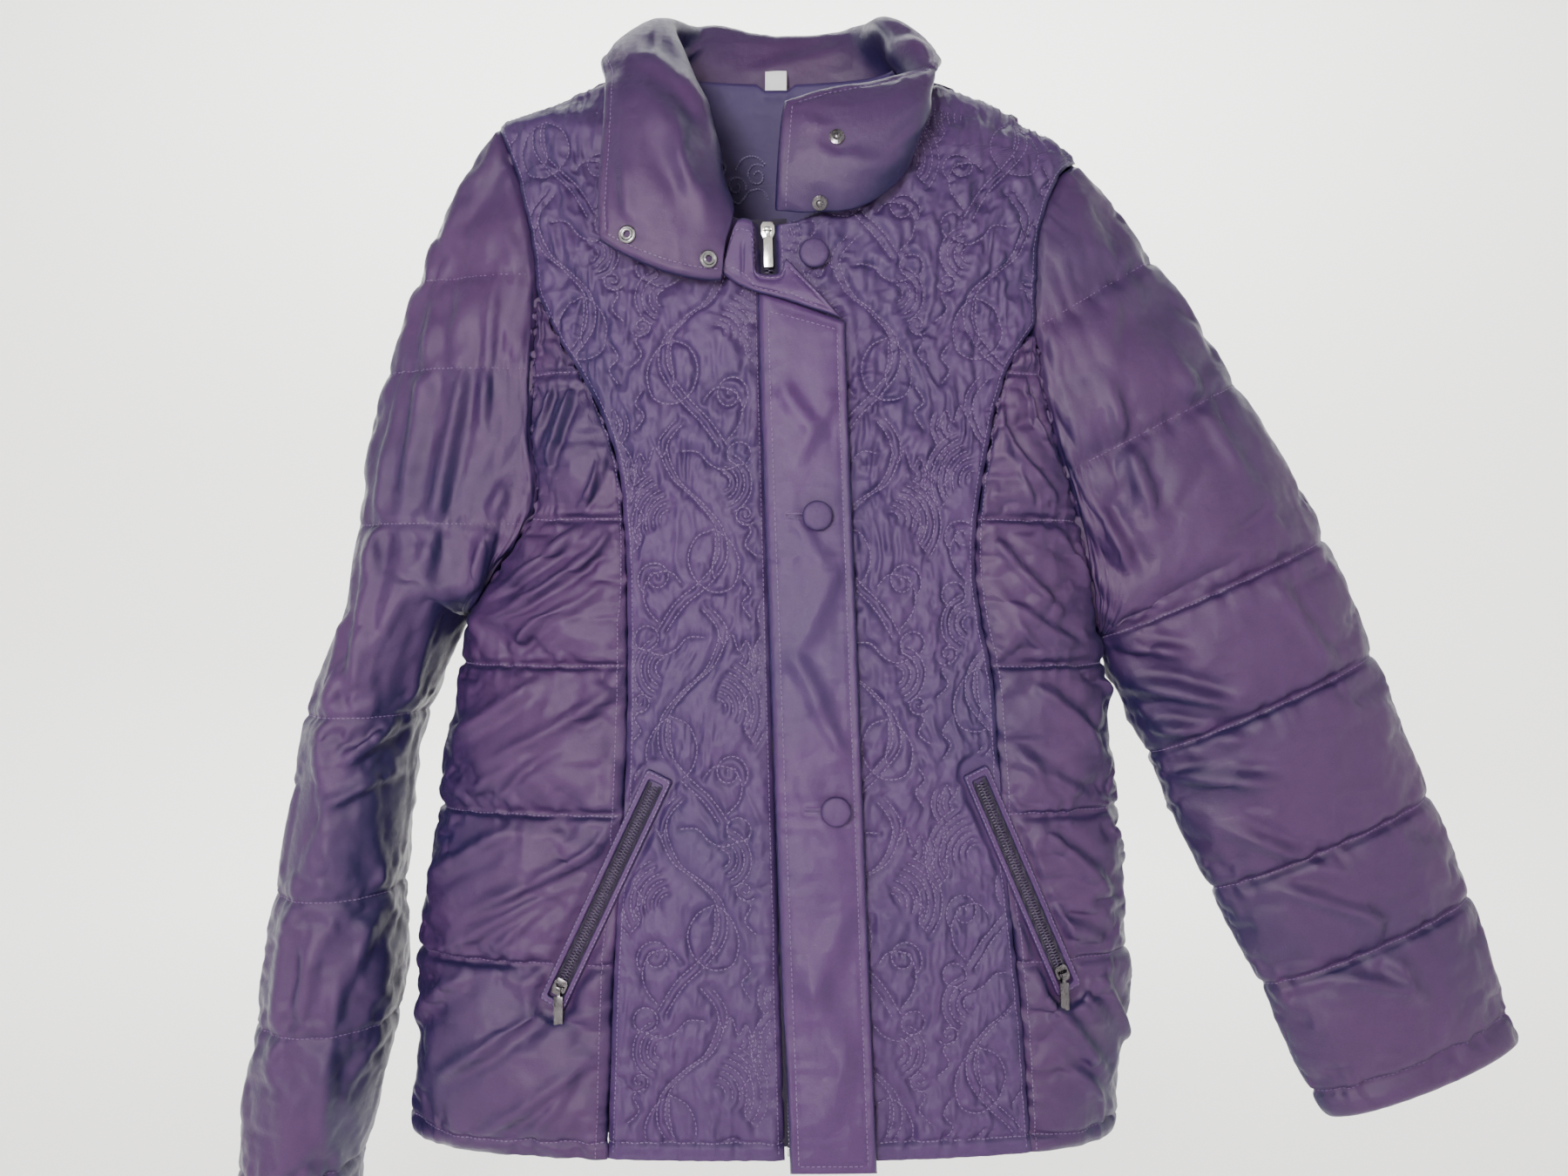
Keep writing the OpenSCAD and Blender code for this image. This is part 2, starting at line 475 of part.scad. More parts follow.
module left_pocket_welt() color(plum) pocket_welt(L);
module left_pocket_zip_tapes() color(plum_dark) pocket_piece(L, "tapes");
module left_pocket_zip_teeth() color(plum_dark) pocket_piece(L, "teeth");
module left_pocket_zip_slider() color(metal) pocket_piece(L, "slider");
module left_pocket_zip_pull() color(metal) pocket_piece(L, "pull");
module left_pocket_bag() color(plum_dark) pocket_bag(L);
module care_label() color("white") label();

// ---- what is drawn ----
right_quilted_front_shell();
right_side_front_shell();
left_quilted_front_shell();
left_side_front_shell();
back_yoke_shell();
back_body_shell();
right_quilted_front_wadding();
right_side_front_wadding();
left_quilted_front_wadding();
left_side_front_wadding();
back_yoke_wadding();
back_body_wadding();
right_front_lining();
left_front_lining();
back_lining();
back_neck_facing();
right_sleeve_front_shell();
right_sleeve_back_shell();
right_sleeve_wadding();
right_sleeve_lining();
right_cuff_hem();
left_sleeve_front_shell();
left_sleeve_back_shell();
left_sleeve_wadding();
left_sleeve_lining();
left_cuff_hem();
collar_shell();
collar_wadding();
collar_facing();
storm_flap();
storm_flap_turned_top();
covered_buttons();
button_threads();
collar_snap_sockets();
collar_snap_studs();
front_zip_tapes();
front_zip_teeth();
front_zip_slider();
front_zip_pull();
front_zip_bottom_box();
right_pocket_welt();
right_pocket_zip_tapes();
right_pocket_zip_teeth();
right_pocket_zip_slider();
right_pocket_zip_pull();
right_pocket_bag();
left_pocket_welt();
left_pocket_zip_tapes();
left_pocket_zip_teeth();
left_pocket_zip_slider();
left_pocket_zip_pull();
left_pocket_bag();
care_label();
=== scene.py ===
"""Quilted ski jacket: the looks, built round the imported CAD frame.

Lengths in this file are millimetres until a mesh is made, and the axes are the frame's:
the front of the jacket faces -Y, the wearer's right is at -X, and +Z is up.
"""
import math

import bmesh
import bpy
import numpy as np
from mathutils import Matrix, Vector, kdtree


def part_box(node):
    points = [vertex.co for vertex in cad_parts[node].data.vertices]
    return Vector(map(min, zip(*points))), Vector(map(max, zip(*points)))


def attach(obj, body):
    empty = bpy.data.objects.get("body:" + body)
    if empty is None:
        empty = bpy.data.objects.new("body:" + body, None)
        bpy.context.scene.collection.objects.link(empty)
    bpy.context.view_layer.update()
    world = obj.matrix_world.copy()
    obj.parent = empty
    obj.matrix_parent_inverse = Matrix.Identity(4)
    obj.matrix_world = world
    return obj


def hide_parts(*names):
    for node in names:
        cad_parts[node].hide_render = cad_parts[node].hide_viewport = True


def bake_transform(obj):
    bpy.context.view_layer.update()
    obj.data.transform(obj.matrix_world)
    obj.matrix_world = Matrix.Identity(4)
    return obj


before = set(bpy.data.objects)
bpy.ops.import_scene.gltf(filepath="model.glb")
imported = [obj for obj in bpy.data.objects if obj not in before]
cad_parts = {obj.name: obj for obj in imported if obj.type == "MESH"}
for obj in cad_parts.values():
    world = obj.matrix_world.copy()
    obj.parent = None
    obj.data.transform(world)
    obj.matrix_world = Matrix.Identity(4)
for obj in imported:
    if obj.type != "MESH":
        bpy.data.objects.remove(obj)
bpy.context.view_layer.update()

MM = 0.001
R, L = -1, 1
FRONT, BACK = -1, 1
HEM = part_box("back_body_shell")[0].z / MM

PAD_T = 6.4          # shell and wadding together
LINING_IN = 10.9     # how far the lining lies inside the outer surface
LINING_T = 0.9
HEM_STITCH = 11      # from the edge of the hem to its row of stitches


# ---------------------------------------------------------------- small maths

def curve(points):
    """A smooth function through (position, value) points."""
    t, y = np.array(points, float).T
    slope = np.gradient(y, t)

    def at(x):
        x = np.clip(x, t[0], t[-1])
        i = np.clip(np.searchsorted(t, x, side="right") - 1, 0, len(t) - 2)
        h = t[i + 1] - t[i]
        s = (x - t[i]) / h
        return ((1 + 2 * s) * (1 - s) ** 2 * y[i] + s * (1 - s) ** 2 * h * slope[i]
                + s * s * (3 - 2 * s) * y[i + 1] + s * s * (s - 1) * h * slope[i + 1])
    return at


def line(points):
    """A function that runs straight between (position, value) points."""
    t, y = np.array(points, float).T
    return lambda x: np.interp(x, t, y)


def lattice(ix, iy, seed):
    n = (ix * 374761393 + iy * 668265263 + seed * 974634777) & 0xFFFFFFFF
    n = ((n ^ (n >> 13)) * 1274126177) & 0xFFFFFFFF
    return ((n ^ (n >> 16)) & 0xFFFF) / 32767.5 - 1


def noise(x, y, seed=0):
    """Smooth noise from -1 to 1, with a feature size of 1."""
    x, y = np.broadcast_arrays(np.asarray(x, float), np.asarray(y, float))
    ix, iy = np.floor(x).astype(np.int64), np.floor(y).astype(np.int64)
    fx, fy = x - ix, y - iy
    fx, fy = fx * fx * (3 - 2 * fx), fy * fy * (3 - 2 * fy)
    a, b = lattice(ix, iy, seed), lattice(ix + 1, iy, seed)
    c, d = lattice(ix, iy + 1, seed), lattice(ix + 1, iy + 1, seed)
    return (a * (1 - fx) + b * fx) * (1 - fy) + (c * (1 - fx) + d * fx) * fy


def crease(x, y, seed=0):
    """Noise with sharp crests, like small folds."""
    return 1 - 2 * np.abs(noise(x, y, seed))


def fade(d, reach):
    return np.exp(-np.abs(d) / reach)


def unit(v):
    return v / np.maximum(np.linalg.norm(v, axis=-1, keepdims=True), 1e-9)


def refine_rows(grid, k, wrap=False):
    """k times as many rows, on smooth curves through the old ones."""
    n = len(grid)
    t = np.arange(n * k if wrap else (n - 1) * k + 1) / k
    i = np.floor(t).astype(int)
    if not wrap:
        i = np.minimum(i, n - 2)
    f = (t - i).reshape(-1, *[1] * (grid.ndim - 1))
    a, b, c, d = (grid[(i + j) % n] if wrap else grid[np.clip(i + j, 0, n - 1)]
                  for j in (-1, 0, 1, 2))
    return b + 0.5 * f * (c - a + f * (2 * a - 5 * b + 4 * c - d + f * (3 * (b - c) + d - a)))


def refine(grid, k_rows, k_cols, wrap=False):
    grid = refine_rows(grid, k_rows)
    return refine_rows(grid.swapaxes(0, 1), k_cols, wrap).swapaxes(0, 1)


def normals(grid, outward, wrap=False):
    """Unit normals of a grid of points, turned to agree with the outward directions."""
    if wrap:
        wide = np.concatenate([grid[:, -1:], grid, grid[:, :1]], axis=1)
        du = np.gradient(wide, axis=1)[:, 1:-1]
    else:
        du = np.gradient(grid, axis=1)
    n = unit(np.cross(du, np.gradient(grid, axis=0)))
    return n * np.sign(np.sum(n * outward))


def arc_lengths(grid, axis):
    step = np.linalg.norm(np.diff(grid, axis=axis), axis=-1)
    zero = np.zeros_like(np.take(step, [0], axis=axis))
    return np.concatenate([zero, np.cumsum(step, axis=axis)], axis=axis)


def sample(grid, v, u):
    """Points of a grid at row v and column u, which may be fractions."""
    m, n = grid.shape[:2]
    v, u = np.clip(v, 0, m - 1.001), np.clip(u, 0, n - 1.001)
    i, j = np.floor(v).astype(int), np.floor(u).astype(int)
    fv, fu = (v - i)[..., None], (u - j)[..., None]
    low = grid[i, j] * (1 - fu) + grid[i, j + 1] * fu
    high = grid[i + 1, j] * (1 - fu) + grid[i + 1, j + 1] * fu
    return low * (1 - fv) + high * fv


def trace(grid, upward, v, u):
    """A path over a grid through rows v and columns u, with the surface's normals along it."""
    v, u = np.broadcast_arrays(np.asarray(v, float), np.asarray(u, float))
    return sample(grid, v, u), sample(upward, v, u)


# ---------------------------------------------------------------- meshes

def add_mesh(name, points, faces):
    """A mesh object from points in millimetres."""
    mesh = bpy.data.meshes.new(name)
    mesh.from_pydata(np.asarray(points, float).reshape(-1, 3) * MM, [], faces)
    mesh.validate()
    mesh.update()
    mesh.shade_smooth()
    obj = bpy.data.objects.new(name, mesh)
    bpy.context.scene.collection.objects.link(obj)
    return obj


def quads(m, n, wrap=False, start=0):
    i, j = np.meshgrid(np.arange(m - 1), np.arange(n if wrap else n - 1), indexing="ij")
    j1 = (j + 1) % n
    q = np.stack([i * n + j, i * n + j1, (i + 1) * n + j1, (i + 1) * n + j], axis=-1)
    return q.reshape(-1, 4) + start


def slab(name, outer, inner, wrap=False):
    """A closed sheet between two grids of points."""
    m, n = outer.shape[:2]
    front, back = quads(m, n, wrap), quads(m, n, wrap, m * n)
    # the faces are turned so that the outer ones look away from the inner grid
    corner = outer.reshape(-1, 3)[front]
    look = np.cross(corner[:, 1] - corner[:, 0], corner[:, 3] - corner[:, 0])
    away = corner[:, 0] - inner.reshape(-1, 3)[front[:, 0]]
    out = np.sum(look * away) > 0
    rim = [np.arange(n), (m - 1) * n + np.arange(n)]
    if not wrap:
        rim += [np.arange(m) * n, np.arange(m) * n + n - 1]
    sides = []
    for k, r in enumerate(rim):
        r0, r1 = (r, np.roll(r, -1)) if wrap else (r[:-1], r[1:])
        strip = np.stack([r0, r0 + m * n, r1 + m * n, r1], axis=-1)
        sides.append(strip if k in (0, 3) else strip[:, ::-1])
    side = np.concatenate(sides)
    if out:
        faces = np.concatenate([front, back[:, ::-1], side])
    else:
        faces = np.concatenate([front[:, ::-1], back, side[:, ::-1]])
    return add_mesh(name, np.concatenate([outer.reshape(-1, 3), inner.reshape(-1, 3)]),
                    faces.tolist())


def dashes(name, paths, material, body, stitch=2.6, gap=0.9, width=0.62, rise=0.15):
    """Sewing stitches: a small tapered bar for each, along paths of (points, normals)."""
    shape = np.array([[-0.5, 0, -0.5]] + [[x, y, z] for x in (-0.28, 0.28)
                     for y, z in ((-0.5, 0), (0, 0.5), (0.5, 0), (0, -0.3))] + [[0.5, 0, -0.5]])
    faces = [[0, 2, 1], [0, 3, 2], [0, 4, 3], [0, 1, 4],
             [1, 2, 6, 5], [2, 3, 7, 6], [3, 4, 8, 7], [4, 1, 5, 8],
             [9, 5, 6], [9, 6, 7], [9, 7, 8], [9, 8, 5]]
    points, all_faces = [], []
    count = 0
    for path, normal in paths:
        if len(path) < 2:
            continue
        along = arc_lengths(path, 0)
        starts = np.arange(0.4, along[-1] - stitch, stitch + gap)
        if not len(starts):
            continue

        def at(s, values=path):
            return np.stack([np.interp(s, along, values[:, k]) for k in range(3)], axis=-1)

        a, b = at(starts), at(starts + stitch)
        n = unit(at(starts + stitch / 2, normal))
        t = unit(b - a)
        side = unit(np.cross(n, t))
        mid = at(starts + stitch / 2) + n * rise
        size = np.linalg.norm(b - a, axis=-1)[:, None, None]
        block = (mid[:, None] + t[:, None] * shape[None, :, :1] * size
                 + side[:, None] * shape[None, :, 1:2] * width
                 + n[:, None] * shape[None, :, 2:3] * width * 0.8)
        points.append(block.reshape(-1, 3))
        for k in range(len(starts)):
            all_faces += [[v + count for v in f] for f in faces]
            count += len(shape)
    if not points:
        return None
    obj = add_mesh(name, np.concatenate(points), all_faces)
    finish_piece(obj, material, body)
    return obj


def finish_piece(obj, material, body, replaces=()):
    obj.data.materials.clear()
    obj.data.materials.append(material)
    if replaces:
        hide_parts(*replaces)
    if isinstance(body, tuple):
        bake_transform(obj)
    else:
        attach(obj, body)
    return obj


# ---------------------------------------------------------------- cloth simulation

FARTHEST = 14        # how far a point of the cloth may move
DEEPEST = 1.4        # how far of that may be inwards


def billow(grid, outward, pinned, grow, pressure, steps, stiff, wrap=False):
    """Lets the cloth between pinned points swell: its rest size grows, and air presses out."""
    m, n = grid.shape[:2]
    obj = add_mesh("cloth_at_work", grid, quads(m, n, wrap).tolist())
    pins = obj.vertex_groups.new(name="pins")
    pins.add([int(i) for i in np.nonzero(pinned.reshape(-1))[0]], 1.0, "REPLACE")
    cloth = obj.modifiers.new("cloth", "CLOTH")
    s = cloth.settings
    s.quality = 5
    s.mass = 0.2
    s.tension_stiffness = 12
    s.compression_stiffness = 12
    s.shear_stiffness = 4
    s.bending_stiffness = stiff
    s.air_damping = 4
    s.vertex_group_mass = "pins"
    s.shrink_min = -grow
    s.use_pressure = True
    s.uniform_pressure_force = pressure
    s.effector_weights.gravity = 0
    cloth.collision_settings.use_collision = False
    cloth.collision_settings.use_self_collision = False
    cloth.point_cache.frame_start = 1
    cloth.point_cache.frame_end = steps
    scene = bpy.context.scene
    for f in range(1, steps + 1):
        scene.frame_set(f)
    made = obj.evaluated_get(bpy.context.evaluated_depsgraph_get()).data
    flat = np.empty(len(made.vertices) * 3)
    made.vertices.foreach_get("co", flat)
    new = flat.reshape(m, n, 3) / MM
    move = new - grid
    far = np.linalg.norm(move, axis=-1, keepdims=True)
    move = move * np.minimum(1, FARTHEST / np.maximum(far, 1e-6))
    sunk = np.minimum(0, np.sum(move * outward, axis=-1, keepdims=True) + DEEPEST)
    new = grid + move - outward * sunk
    bpy.data.objects.remove(obj, do_unlink=True)
    scene.frame_set(1)
    return new


# ---------------------------------------------------------------- the body's surface

side_x = {R: curve([[HEM, -262], [-672, -259], [-609, -257], [-559, -252], [-522, -245],
                    [-453, -237], [-428, -231], [-378, -224], [-300, -216], [-150, -208],
                    [-60, -206], [-28, -203], [-19, -175], [-7, -150], [3, -123], [12, -105]]),
          L: curve([[HEM, 233], [-684, 238], [-622, 243], [-590, 241], [-534, 237],
                    [-484, 234], [-434, 228], [-393, 224], [-300, 219], [-150, 212],
                    [-60, 209], [-54, 208], [-31, 175], [-9, 137], [2, 106], [12, 90]])}
depth = {FRONT: line([[HEM, 71], [-107, 57], [-40, 46], [0, 30], [12, 24]]),
         BACK: curve([[HEM, 58], [-560, 54], [-400, 50], [-200, 54], [-60, 50], [0, 43],
                      [12, 40]])}
roundness = line([[HEM, 2.7], [-100, 2.5], [0, 2], [12, 2]])
TIP = {R: -28, L: -54}
PIT = {R: -377, L: -393}
armhole = {R: curve([[-377, -224], [-341, -195], [-306, -172], [-252, -174], [-205, -173],
                     [-151, -171], [-131, -172], [-105, -177], [-79, -184], [-61, -190],
                     [-28, -203]]),
           L: curve([[-393, 224], [-311, 206], [-287, 199], [-252, 187], [-217, 178],
                     [-175, 173], [-141, 174], [-105, 178], [-78, 188], [-61, 199],
                     [-54, 208]])}
princess = {R: curve([[HEM, -117], [-604, -113], [-476, -106], [-400, -105], [-312, -108],
                      [-270, -113], [-241, -123], [-212, -138], [-187, -154], [-151, -171]]),
            L: curve([[HEM, 166], [-626, 158], [-570, 152], [-458, 144], [-419, 141],
                      [-371, 132], [-340, 129], [-306, 131], [-270, 137], [-235, 144],
                      [-207, 153], [-175, 173]])}
PRINCESS_TOP = {R: -151, L: -175}
neckline = {R: curve([[-112, -20], [-104, -40], [-90, -60], [-60, -88], [-30, -105], [3, -122]]),
            L: curve([[-112, 0], [-104, 22], [-88, 48], [-60, 74], [-30, 92], [2, 105]])}
ZIP_GAP = 5.4                                 # from the zip's middle to the quilted fronts
QUILT_ROWS = (-609, -509, -409, -310, -210)   # heights of the level quilting lines


def middle(z):
    return (side_x[R](z) + side_x[L](z)) / 2


def half(z):
    return (side_x[L](z) - side_x[R](z)) / 2


def angle_at(x, z):
    t = np.clip((x - middle(z)) / half(z), -1, 1)
    return np.sign(t) * np.arcsin(np.abs(t) ** (roundness(z) / 2))


def body_point(face, angle, z, out=0):
    angle, z = np.broadcast_arrays(angle, z)
    e = 2 / roundness(z)
    s, c = np.sin(angle), np.maximum(np.cos(angle), 0)
    x = middle(z) + (half(z) + out) * np.sign(s) * np.abs(s) ** e
    return np.stack([x, face * (depth[face](z) + out) * c ** e, z], axis=-1)


def surface_y(face, x, z):
    return body_point(face, angle_at(x, z), z)[..., 1]


def zip_x(z):
    return -11 + 17 * (-115 - z) / 620


def front_edge(side, z, gap):
    """The edge of a front panel: beside the zip, then round the neck."""
    return np.where(z < -112, zip_x(z) + side * gap, neckline[side](z) + side * (gap - 7))


def outer_edge(side, z):
    """The armhole between the armpit and the shoulder tip, and the side seam elsewhere."""
    inside = (z > PIT[side]) & (z < TIP[side])
    return np.where(inside, armhole[side](z), side_x[side](z))


def princess_edge(side, z):
    return np.where(z < PRINCESS_TOP[side], princess[side](z), outer_edge(side, z))


class Panel:
    """A piece of the body between two edges, as a grid of points with heights added."""

    def __init__(self, face, heights, edge_a, edge_b, cols):
        self.z = np.asarray(heights, float)
        a, b = angle_at(edge_a(self.z), self.z), angle_at(edge_b(self.z), self.z)
        self.low, self.high = np.minimum(a, b), np.maximum(a, b)
        angles = self.low[:, None] + (self.high - self.low)[:, None] * np.linspace(0, 1, cols)
        self.base = body_point(face, angles, self.z[:, None])
        self.measure()

    def measure(self):
        outward = self.base * [0.15, 1, 0] - [middle(self.z).mean() * 0.15, 0, 0]
        self.n = normals(self.base, outward)
        self.across = arc_lengths(self.base, 1)
        self.width = self.across[:, -1:]
        self.down = arc_lengths(self.base, 0)
        self.edge = np.minimum(self.across, self.width - self.across)
        self.x, self.h = self.base[..., 0], self.base[..., 2]
        self.skin = self.base.copy()

    def swell(self, pinned, grow, pressure, steps, finer):
        """Puffs the padding out between the pinned points, then divides the grid more finely."""
        start = self.base - self.n
        swollen = billow(start, self.n, pinned, grow, pressure, steps, 0.8)
        self.base = refine(self.base + (swollen - start), finer, finer)
        self.z, self.low, self.high = (refine_rows(a[:, None], finer)[:, 0]
                                       for a in (self.z, self.low, self.high))
        self.measure()

    def raise_by(self, height):
        self.skin = self.skin + self.n * height[..., None]
        self.n = normals(self.skin, self.n)

    def spot(self, x, z):
        """Row and column of the surface point that faces the place (x, z)."""
        v = np.interp(z, self.z, np.arange(len(self.z)))
        low = np.interp(z, self.z, self.low)
        high = np.interp(z, self.z, self.high)
        u = (angle_at(x, z) - low) / np.maximum(high - low, 1e-6) * (self.base.shape[1] - 1)
        return v, u

    def path(self, x, z):
        """A path and its normals on the finished surface, over the places (x, z)."""
        return trace(self.skin, self.n, *self.spot(x, z))

    def level(self, z):
        """A path across the panel at one height."""
        m, n = self.skin.shape[:2]
        return trace(self.skin, self.n, np.interp(z, self.z, np.arange(m)), np.linspace(1, n - 2, n))


def pinned_rows(panel, lines, reach):
    mask = np.zeros(panel.base.shape[:2], bool)
    mask[0] = mask[-1] = True
    mask[:, 0] = mask[:, -1] = True
    for z in lines:
        mask |= np.abs(panel.h - z) < reach
    return mask


# ---------------------------------------------------------------- surface detail

def gathers(s, d, seed, size=1.0):
    """Puckers that run away from a row of stitches: s is along the row, d away from it."""
    fine = noise(s / 4.6, d / 26, seed) * fade(d, 7)
    wide = crease(s / 10.5, d / 40, seed + 1) * fade(d, 19)
    return size * (0.75 * fine + 1.15 * wide)


def fold(x, z, p, q, width, height, bow=0.0):
    """A soft crest from p to q with a hollow under it; it dies away at its ends."""
    p, q = np.array(p, float), np.array(q, float)
    t = q - p
    length = np.hypot(*t)
    t = t / length
    s = ((x - p[0]) * t[0] + (z - p[1]) * t[1]) / length
    d = (x - p[0]) * -t[1] + (z - p[1]) * t[0] - bow * 4 * s * (1 - s)
    d = d * (1 + 0.12 * noise(x / 17, z / 17, 5))
    ends = np.clip(s * 3.2, 0, 1) * np.clip((1 - s) * 3.2, 0, 1) * (s > 0) * (s < 1)
    ends = ends * ends * (3 - 2 * ends)
    crest = np.exp(-(d / width) ** 2) - 0.55 * np.exp(-((d - 1.5 * width) / (1.2 * width)) ** 2)
    return height * ends * crest


def crumple(x, z, seed, size):
    """Small uneven dents in padded cloth."""
    wx = x + 6 * noise(x / 23, z / 23, seed + 7)
    wz = z + 6 * noise(x / 23, z / 23, seed + 8)
    return size * (0.6 * noise(wx / 21, wz / 21, seed) + 0.35 * crease(wx / 15, wz / 12, seed + 1)
                   + 0.15 * noise(wx / 6, wz / 6, seed + 2))


POCKETS = {R: ((-152, -628), (-86, -488)), L: ((190, -622), (131, -486))}   # low and high ends


def pocket_distance(side, x, z):
    (x0, z0), (x1, z1) = POCKETS[side]
    length = math.hypot(x1 - x0, z1 - z0)
    s = ((x - x0) * (x1 - x0) + (z - z0) * (z1 - z0)) / length
    d = np.abs((x - x0) * (z1 - z0) - (z - z0) * (x1 - x0)) / length
    return np.hypot(d, np.maximum(0, np.maximum(-5 - s, s - length - 5)))


def pocket_recess(side, x, z, height):
    """The quilting lies flat under a pocket's welt and puckers round it."""
    d = pocket_distance(side, x, z)
    flat = np.clip((16.5 - d) / 6, 0, 1)
    flat = flat * flat * (3 - 2 * flat)
    return height * (1 - flat) - 1.8 * flat + 0.8 * noise((x + z) / 5, d / 9, 57) * fade(d - 15, 5)


# ---------------------------------------------------------------- scroll quilting

TILE_W, TILE_H = 90, 126    # one repeat of the scrolls


def smooth_path(points, per=14):
    return refine_rows(np.array(points, float), per)


def arc(cx, cy, r0, r1, a0, a1, count=26):
    """An arc whose radius changes from r0 to r1 between two angles in degrees."""
    t = np.linspace(0, 1, count)
    a, r = np.radians(a0 + (a1 - a0) * t), r0 + (r1 - r0) * t
    return np.stack([cx + r * np.cos(a), cy + r * np.sin(a)], axis=-1)


def scroll_tile():
    """One repeat of a free design: a waving double stem, a leaf, a fan, curls and a zigzag."""
    stem = smooth_path([(22, -8), (34, 10), (50, 26), (62, 44), (60, 64), (46, 80), (30, 94), (22, 118),
                        (34, 136)])
    leaf = [(60, 62), (48, 56), (42, 42), (46, 28), (58, 20), (72, 24), (76, 40), (70, 54), (60, 62)]
    paths = [stem, stem + [5.5, -2], smooth_path(leaf), smooth_path([(60, 60), (60, 48), (58, 36), (60, 27)])]
    paths += [arc(30, 66, 6 + 4.6 * k, 7.5 + 4.9 * k, 100 + 3 * k, 200 + 4 * k) for k in range(7)]
    paths += [arc(64, 92, 6 + 4.8 * k, 6 + 4.8 * k, -66, 88 - 6 * k) for k in range(4)]
    paths += [arc(14, 100, 3 + 4 * k, 4 + 4 * k, 150, 260 - 8 * k) for k in range(4)]
    zigzag = [(4 + 5 * k, 104 + (5 if k % 2 else -5) + 2 * k) for k in range(6)]
    return paths + [
        smooth_path([(22, -4), (14, 6), (12, 18), (18, 28), (30, 30), (38, 22)]),
        smooth_path([(88, 44), (80, 52), (84, 62), (76, 68)], 10),
        arc(20, 26, 1.5, 13, 0, 600, 60), arc(80, 72, 1, 8, 200, 700, 44), arc(76, 112, 8, 8, 0, 360, 36),
        smooth_path([(76, 104), (66, 100), (56, 104), (48, 112), (36, 112)]), smooth_path(zigzag, 8),
        smooth_path([(4, 44), (10, 52), (6, 60), (12, 68), (6, 78), (12, 86)], 10),
        smooth_path([(84, 2), (78, 12), (84, 20), (78, 30)], 10)]


def scrolls(side, x_low, x_high, z_low, z_high, keep):
    """The stitch lines of a front panel, cut to where keep(x, z) is true."""
    lines = []
    first = int(math.floor(z_low / TILE_H)) - 1
    for row in range(first, int(z_high / TILE_H) + 2):
        for col in range(-1, 4):
            flip = (row + col) % 2
            for p in scroll_tile():
                x = TILE_W - p[:, 0] if flip else p[:, 0]
                x = x_low + 6 + x + col * TILE_W if side == L else x_high - 6 - x - col * TILE_W
                z = p[:, 1] + row * TILE_H + 31 * (col % 2)
                z = z + 3 * noise(x / 40, z / 40, 31)
                ok = keep(x, z)
                for run in np.split(np.arange(len(x)), np.nonzero(np.diff(ok))[0] + 1):
                    if ok[run[0]] and len(run) > 3:
                        lines.append(np.stack([x[run], z[run]], axis=-1))
    return lines


def even(path, step):
    """The same path with its points a fixed step apart."""
    length = arc_lengths(path, 0)
    s = np.arange(0, length[-1], step)
    return np.stack([np.interp(s, length, path[:, k]) for k in range(path.shape[1])], axis=-1)


def nearest(lines, x, z):
    """Distance from each (x, z) to the nearest stitch line, and the length along it."""
    points, along = [], []
    run, step = 0.0, 1.2
    for p in lines:
        p = even(p, step)
        points.append(p)
        along.append(run + step * np.arange(len(p)))
        run += step * len(p) + 50
    points, along = np.concatenate(points), np.concatenate(along)
    tree = kdtree.KDTree(len(points))
    for i, (px, pz) in enumerate(points.tolist()):
        tree.insert((px, pz, 0), i)
    tree.balance()
    d, s = np.empty(x.size), np.empty(x.size)
    for i, (px, pz) in enumerate(zip(x.ravel().tolist(), z.ravel().tolist())):
        _, index, d[i] = tree.find((px, pz, 0))
        s[i] = along[index]
    return d.reshape(x.shape), s.reshape(x.shape)


# ---------------------------------------------------------------- materials

